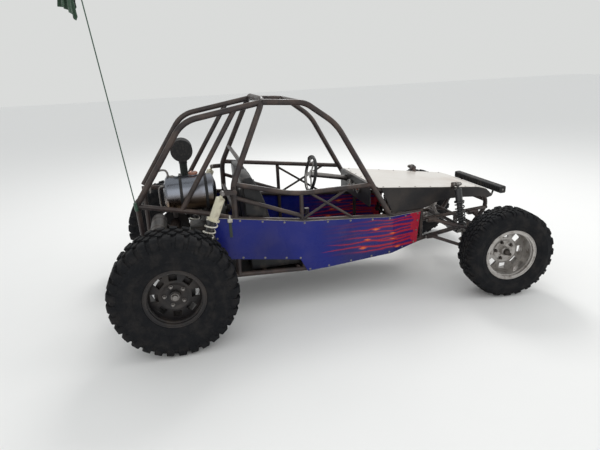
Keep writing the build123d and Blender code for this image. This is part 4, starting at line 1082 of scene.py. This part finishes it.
fins = [first_fin] + [copied(first_fin) for number in range(27)]
for number, fin in enumerate(fins):
    set_at(fin, Vector((0, -0.3375 + 0.025 * number, 0)))
finished("lamp_fins", fins, black_plastic)
heads = []
for side in (1, -1):
    heads.append(button(spot_at(2.877, side * 0.3598, bar_height), (0, side, 0), 0.012, 0.005))
for side in (1, -1):
    heads.append(nut(spot_at(2.863, side * 0.250, 0.7828), (0, 0, 1), 0.013, 0.006))
finished("lamp_bolts", heads, steel)

# Dash dials. Three round gauges in bright bezels, with dark faces, pale marks and orange needles.
dial_face, place = finish("dial_face")
place.grain(60.0).mixed((0.012, 0.012, 0.013), (0.022, 0.021, 0.020)).drive("Base Color")
place.dull(0.1, 0.25, 90.0)
dial_mark, place = finish("dial_mark")
place.grain(90.0).mixed((0.70, 0.68, 0.62), (0.55, 0.53, 0.48)).drive("Base Color")
needle_orange, place = finish("needle_orange")
place.grain(90.0).mixed((0.75, 0.16, 0.02), (0.60, 0.12, 0.02)).drive("Base Color")
facing_back = Vector((-1, 0, 0)).to_track_quat("Y", "Z")
bezels, faces, marks, needles = [], [], [], []
# Each dial: (side, radius, needle's angle)
for side, radius, angle in ((0.090, 0.043, -0.6), (-0.020, 0.033, 0.9), (-0.110, 0.033, -1.4)):
    centre = spot_at(1.5977, side, 0.833)
    inner = radius - 0.004
    bezel = [
        (-0.010, radius + 0.0002), (-0.010, radius + 0.0016), (0.0020, radius + 0.0016), (0.0036, radius),
        (0.0036, inner + 0.001), (0.0020, inner), (0.0, inner), (0.0, radius + 0.0002),
    ]
    bezels.append(turned(bezel, 40, centre, facing_back))
    faces.append(turned(band(0.0, 0.0008, 0.0, inner), 40, centre, facing_back))
    tick = [(0.0008, inner * 0.76), (0.0013, inner * 0.76), (0.0013, inner * 0.92), (0.0008, inner * 0.92)]
    marks.append(set_at(lug(tick, 0.0013, 30, edge=0.0001), centre, facing_back))
    tip = Vector((0, math.sin(angle), math.cos(angle))) * inner * 0.8
    lift = Vector((-0.0022, 0, 0))
    needles.append(rod([centre + lift - tip * 0.25, centre + lift + tip], 0.0014, around=2))
    needles.append(button(centre + lift, (-1, 0, 0), 0.005, 0.002))
finished("dial_bezels", bezels, steel)
finished("dial_faces", faces, dial_face)
finished("dial_marks", marks, dial_mark)
finished("dial_needles", needles, needle_orange)

# Tank fittings. Two black straps with a clamp bolt each, a ribbed copper-tinted screw cap, the
# level sender and the fuel pipe that drops to the carburettor.
copper_cap = mottled(
    "copper_cap", (40.0, 3.0), (), (0.62, 0.33, 0.25), (0.34, 0.18, 0.13),
    (60.0, 0.2, 0.25), (200.0, 0.0003, 0.4), Metallic=0.8,
)
tank_side = -0.175
tank_height = 0.972
clamp_height = 1.122
straps, clamps = [], []
for start in (0.1058, 0.2930):
    ring = band(0.002, 0.024, 0.1421, 0.1440)
    straps.append(turned(ring, 72, spot_at(start, tank_side, tank_height), ahead_turn))
    ear = (
        (start + 0.003, 1.110), (start + 0.023, 1.110), (start + 0.021, 1.130), (start + 0.005, 1.130)
    )
    for middle in (tank_side + 0.012, tank_side - 0.012):
        straps.append(plate(ear, middle - 0.0015, middle + 0.0015, 0.0008))
    spot = start + 0.013
    clamps.append(rod([spot_at(spot, tank_side + side, clamp_height) for side in (-0.026, 0.026)], 0.006))
    for side in (1, -1):
        clamps.append(nut(spot_at(spot, tank_side + side * 0.0135, clamp_height), (0, side, 0), 0.012, 0.006))
finished("tank_straps", straps, black_plastic)
finished("tank_clamps", clamps, steel)
upright = Vector((0, 0, 1)).to_track_quat("Y", "X")
cap = [
    (0.0, 0.0), (0.0, 0.0310), (0.003, 0.0330), (0.017, 0.0330), (0.021, 0.0300), (0.022, 0.0240),
    (0.019, 0.0200), (0.019, 0.0),
]
cap_parts = [turned(cap, 48), lug(band(0.003, 0.016, 0.0325, 0.0352), 0.0026, 28, edge=0.0005)]
screw_cap = set_at(joined(cap_parts), spot_at(0.221, tank_side, 1.1165), upright)
finished("tank_cap", screw_cap, copper_cap)
sender = [(-0.004, 0.0), (-0.004, 0.024), (0.003, 0.024), (0.004, 0.014), (0.010, 0.012), (0.011, 0.0)]
fittings = [turned(sender, 32, spot_at(0.060, tank_side, 1.1115), upright)]
for turn in (0.3, 1.56, 2.81, 4.07, 5.33):
    spot = spot_at(0.060 + 0.019 * math.sin(turn), tank_side + 0.019 * math.cos(turn), 1.1140)
    fittings.append(button(spot, (0, 0, 1), 0.006, 0.003))


def pipe(route, thick, kind="NURBS"):
    """A rod along (station, side, height) points."""
    return rod([spot_at(*point) for point in route], thick, kind)


fittings.append(pipe((
    (0.384, -0.175, 0.900), (0.412, -0.175, 0.900), (0.420, -0.165, 0.850), (0.410, -0.110, 0.790),
    (0.380, -0.020, 0.765), (0.345, 0.040, 0.752), (0.330, 0.060, 0.750),
), 0.009))
fittings.append(nut(spot_at(0.384, -0.175, 0.900), (1, 0, 0), 0.020, 0.012))
finished("tank_fittings", fittings, steel, 40.0)

# Engine fittings. The carburettor's float bowl and arm, the distributor, and the alternator on its
# stand, with its pulley in line with the crankshaft's.
bowl_parts = [
    box_plate(0.340, 0.386, 0.690, 0.736, 0.044, 0.096, 0.006),
    box_plate(0.336, 0.390, 0.737, 0.743, 0.040, 0.100, 0.002),
]
for height in (0.668, 0.728):
    collar = band(0.0, 0.006, 0.0502, 0.0580)
    bowl_parts.append(turned(collar, 40, spot_at(0.300, 0.070, height), upright))
finished("carburettor", bowl_parts, cast_alloy)
screws = []
for x in (0.343, 0.383):
    for y in (0.047, 0.093):
        screws.append(button(spot_at(x, y, 0.7430), (0, 0, 1), 0.006, 0.003))
screws.append(pipe(((0.300, 0.118, 0.705), (0.300, 0.140, 0.705)), 0.009, "POLY"))
arm = ((0.294, 0.700), (0.306, 0.700), (0.300, 0.752), (0.292, 0.752))
screws.append(plate(arm, 0.134, 0.137, 0.0008))
link = ((0.296, 0.138, 0.748), (0.420, 0.150, 0.744), (0.560, 0.150, 0.700))
screws.append(pipe(link, 0.005, "POLY"))
finished("throttle_linkage", screws, steel)
body = [(0.0, 0.0), (0.0, 0.018), (0.030, 0.018), (0.042, 0.030), (0.076, 0.030), (0.076, 0.0)]
crown = [(0.074, 0.0), (0.074, 0.0345), (0.100, 0.0330), (0.112, 0.0250), (0.114, 0.0)]
distributor_foot = spot_at(0.425, 0.074, 0.666)
base = turned(body, 32, distributor_foot, upright)
finished("distributor", base, cast_alloy)
tower = [(0.108, 0.0), (0.108, 0.0070), (0.132, 0.0058), (0.132, 0.0040), (0.126, 0.0040), (0.126, 0.0)]
towers = [turned(crown, 32, distributor_foot, upright)]
for x, y in ((0.0, 0.0), (0.019, 0.0), (-0.019, 0.0), (0.0, 0.019), (0.0, -0.019)):
    towers.append(turned(tower, 14, distributor_foot + Vector((x, y, 0)), upright))
finished("distributor_cap", towers, black_plastic)


def alternator_at(station):
    """A place on the alternator's axis."""
    return spot_at(station, -0.020, 0.770)


case = [
    (0.0, 0.0), (0.0, 0.034), (0.010, 0.050), (0.030, 0.055), (0.046, 0.055), (0.048, 0.052), (0.058, 0.052),
    (0.060, 0.055), (0.088, 0.055), (0.104, 0.046), (0.108, 0.020), (0.122, 0.018), (0.122, 0.0),
]
vane = ((0.010, 0.030), (0.002, 0.031), (0.008, 0.047), (0.014, 0.046))
stand = ((0.360, 0.664), (0.440, 0.664), (0.425, 0.730), (0.375, 0.730))
alternator = [
    turned(case, 40, alternator_at(0.345), ahead_turn),
    set_at(lug(vane, 0.006, 14, edge=0.0008), alternator_at(0.343), ahead_turn),
    plate(stand, -0.060, 0.020, 0.006),
]
finished("alternator", alternator, cast_alloy)
groove = [
    (-0.012, 0.0), (-0.012, 0.036), (-0.009, 0.037), (-0.004, 0.030), (0.004, 0.030), (0.009, 0.037),
    (0.012, 0.036), (0.012, 0.0),
]
pulley = [
    turned(groove, 40, alternator_at(0.478), ahead_turn),
    nut(alternator_at(0.489), (1, 0, 0), 0.022, 0.012),
    nut(spot_at(0.4878, 0.0, 0.520), (1, 0, 0), 0.030, 0.012),
]
finished("alternator_pulley", pulley, dark_steel)

# Door brace ends. On the left side the thin crossed braces run on to the higher rail and to the
# door post, where they are welded in the frame's own paint.
brace_thick = 0.0200
brace_ends = (
    ((1.385, 0.428, 0.9285), (1.4606, 0.4240, 0.9682)),
    ((1.095, 0.4485, 0.9264), (1.0140, 0.4505, 0.9816)),
)
tubes = [pipe(route, brace_thick, "POLY") for route in brace_ends]
finished("door_brace_ends", tubes, frame_paint, 50.0)

# Gearbox fittings. Hex bolts round the bell housing, the end cover and the side covers, with cast
# ribs along the case.
gearbox_height = 0.460
backward = Vector((-1, 0, 0))
back_turn = backward.to_track_quat("Y", "Z")
bolts = []
# Each ring of bolts: (middle, way it faces, radius, number of bolts, size)
for middle, facing, radius, count, size in (
    (spot_at(0.1362, 0.0, gearbox_height), backward, 0.152, 10, 0.017),
    (spot_at(-0.2848, 0.0, gearbox_height), backward, 0.046, 6, 0.013),
    (spot_at(0.0, 0.1500, 0.438), Vector((0, 1, 0)), 0.084, 8, 0.015),
    (spot_at(0.0, -0.1500, 0.438), Vector((0, -1, 0)), 0.084, 8, 0.015),
):
    turn = facing.to_track_quat("Y", "Z")
    for number in range(count):
        angle = (number + 0.5) * math.tau / count
        spot = turn @ Vector((math.sin(angle), 0.0, math.cos(angle))) * radius
        bolts.append(nut(middle + spot, facing, size, size * 0.55))
finished("gearbox_bolts", bolts, steel)
rib = (
    (0.070, 0.098), (0.030, 0.140), (0.080, 0.1135), (0.210, 0.1085), (0.400, 0.0830), (0.400, 0.074),
    (0.210, 0.098),
)
ribs = set_at(lug(rib, 0.007, 12, 0.5, edge=0.0012), spot_at(0.150, 0.0, gearbox_height), back_turn)
finished("gearbox_ribs", ribs, cast_alloy)

# Muffler. Rolled seams at both ends, two straps, and a short open tail pipe that points back and
# down.
seams = []
for middle, width, reach in (
    (-0.213, 0.008, 0.0675), (0.213, 0.008, 0.0675), (-0.120, 0.020, 0.0665), (0.120, 0.020, 0.0665)
):
    seams.append(turned(band(middle - width / 2, middle + width / 2, 0.0650, reach), 56))
tail = [
    (0.050, 0.0190), (0.050, 0.0215), (0.145, 0.0215), (0.147, 0.0205), (0.147, 0.0190), (0.070, 0.0190),
    (0.070, 0.0), (0.050, 0.0),
]
tail_way = Vector((-0.88, 0.0, -0.47)).to_track_quat("Y", "X")
seams.append(turned(tail, 32, Vector((0, 0.060, 0)), tail_way))
trim = set_at(joined(seams), spot_at(-0.105, 0.0, 0.655))
finished("muffler_trim", trim, dark_steel)

# Drive joints. A pleated rubber boot covers the inner joint of each half shaft, and turns with its
# wheel.
for side, label in ((1, "left"), (-1, "right")):
    boot = [
        (0.0, 0.0500), (0.0, 0.0525), (0.010, 0.0530), (0.018, 0.0515), (0.026, 0.0540), (0.034, 0.0515),
        (0.042, 0.0535), (0.050, 0.0510), (0.058, 0.0525), (0.066, 0.0500),
    ]
    turn = Matrix.Rotation(0.0 if side == 1 else math.pi, 3, "Z").to_quaternion()
    skin = turned(boot, 48, spot_at(0.0, side * 0.178, 0.438), turn)
    body = f"wheel_rear_{label}"
    finished(f"shaft_boot_{label}", skin, black_plastic, 60.0, body)

# Tank pipes. A level tube on elbows at the tank's rear end, and a breather that bends back and
# down from its top.
gauge_route = (
    (-0.008, -0.200, 0.880), (-0.040, -0.200, 0.880), (-0.048, -0.200, 0.895), (-0.048, -0.200, 1.035),
    (-0.040, -0.200, 1.050), (-0.004, -0.200, 1.050),
)
breather_route = (
    (0.032, -0.150, 1.100), (0.032, -0.150, 1.150), (0.010, -0.152, 1.172), (-0.060, -0.158, 1.160),
    (-0.105, -0.165, 1.110), (-0.112, -0.170, 1.000),
)
pipes = [pipe(gauge_route, 0.014), pipe(breather_route, 0.016)]
pipes += [nut(spot_at(-0.016, -0.200, height), (-1, 0, 0), 0.024, 0.014) for height in (0.880, 1.050)]
pipes.append(nut(spot_at(0.032, -0.150, 1.106), (0, 0, 1), 0.028, 0.014))
finished("tank_pipes", pipes, steel, 40.0)

# Suspension bolts. A nut and a bolt head at each arm's pivots and at both eyes of each coil-over,
# across the frame in front and behind.
pivots = ((2.180, 0.384, 0.416), (2.180, 0.384, 0.566), (2.600, 0.316, 0.440), (2.600, 0.342, 0.573))
eyes = ((2.428, 0.478, 0.392), (2.380, 0.424, 0.868))
rear_eyes = ((0.150, 0.533, 0.452), (0.405, 0.533, 1.030))
pivot_gap = 0.0488
eye_gap = 0.0243
nuts = []
for side in (1, -1):
    for spots, gap in ((pivots, pivot_gap), (eyes, eye_gap)):
        for station, across, height in spots:
            for way in (1, -1):
                spot = spot_at(station + way * gap, side * across, height)
                nuts.append(nut(spot, (way, 0, 0), 0.022, 0.011))
    for station, across, height in rear_eyes:
        for way in (1, -1):
            spot = spot_at(station, side * across + way * eye_gap, height)
            nuts.append(nut(spot, (0, way, 0), 0.024, 0.012))
finished("suspension_bolts", nuts, steel)

# Hood screws. Domed screws with washers hold the hood along both its edges and across its rear,
# square to its slope.
hood_edge = ((1.656, 0.426), (2.672, 0.321))
hood_line = ((1.656, 0.9178), (2.650, 0.7970))
hood_up = Vector((0.1206, 0.0, 0.9927))
screws = []
for side in (1, -1):
    for station in (1.71, 1.86, 2.01, 2.16, 2.52, 2.63):
        spot = spot_at(station, side * (level_on(hood_edge, station) - 0.012), level_on(hood_line, station))
        screws.append(button(spot, hood_up, 0.0115, 0.004))
for side in (-0.26, -0.13, 0.0, 0.13, 0.26):
    screws.append(button(spot_at(1.675, side, level_on(hood_line, 1.675)), hood_up, 0.0115, 0.004))
finished("hood_screws", screws, steel)

# Foot and hand controls. Ribs of rubber on each pedal's pad, and a pleated boot round the foot of
# the gear lever.
pad_face = Vector((-0.944, 0.0, 0.330))
pad_up = Vector((0.330, 0.0, 0.944))
ribs = []
for side in (0.130, 0.220, 0.310):
    for lift in (-0.032, -0.016, 0.0, 0.016, 0.032):
        middle = spot_at(1.975, side, 0.520) + pad_face * 0.0085 + pad_up * lift
        line = [middle + Vector((0, reach, 0)) for reach in (-0.026, 0.026)]
        ribs.append(rod(line, 0.006, around=2))
boot = [
    (0.0, 0.0), (0.0, 0.0335), (0.006, 0.0345), (0.014, 0.0270), (0.022, 0.0300), (0.030, 0.0225),
    (0.038, 0.0255), (0.046, 0.0175), (0.054, 0.0200), (0.062, 0.0125), (0.074, 0.0115), (0.074, 0.0),
]
lever_lean = Vector((0.030, 0.0, 0.2984)).to_track_quat("Y", "X")
ribs.append(turned(boot, 36, spot_at(1.1322, 0.0, 0.3620), lever_lean))
finished("control_rubbers", ribs, black_plastic, 60.0)
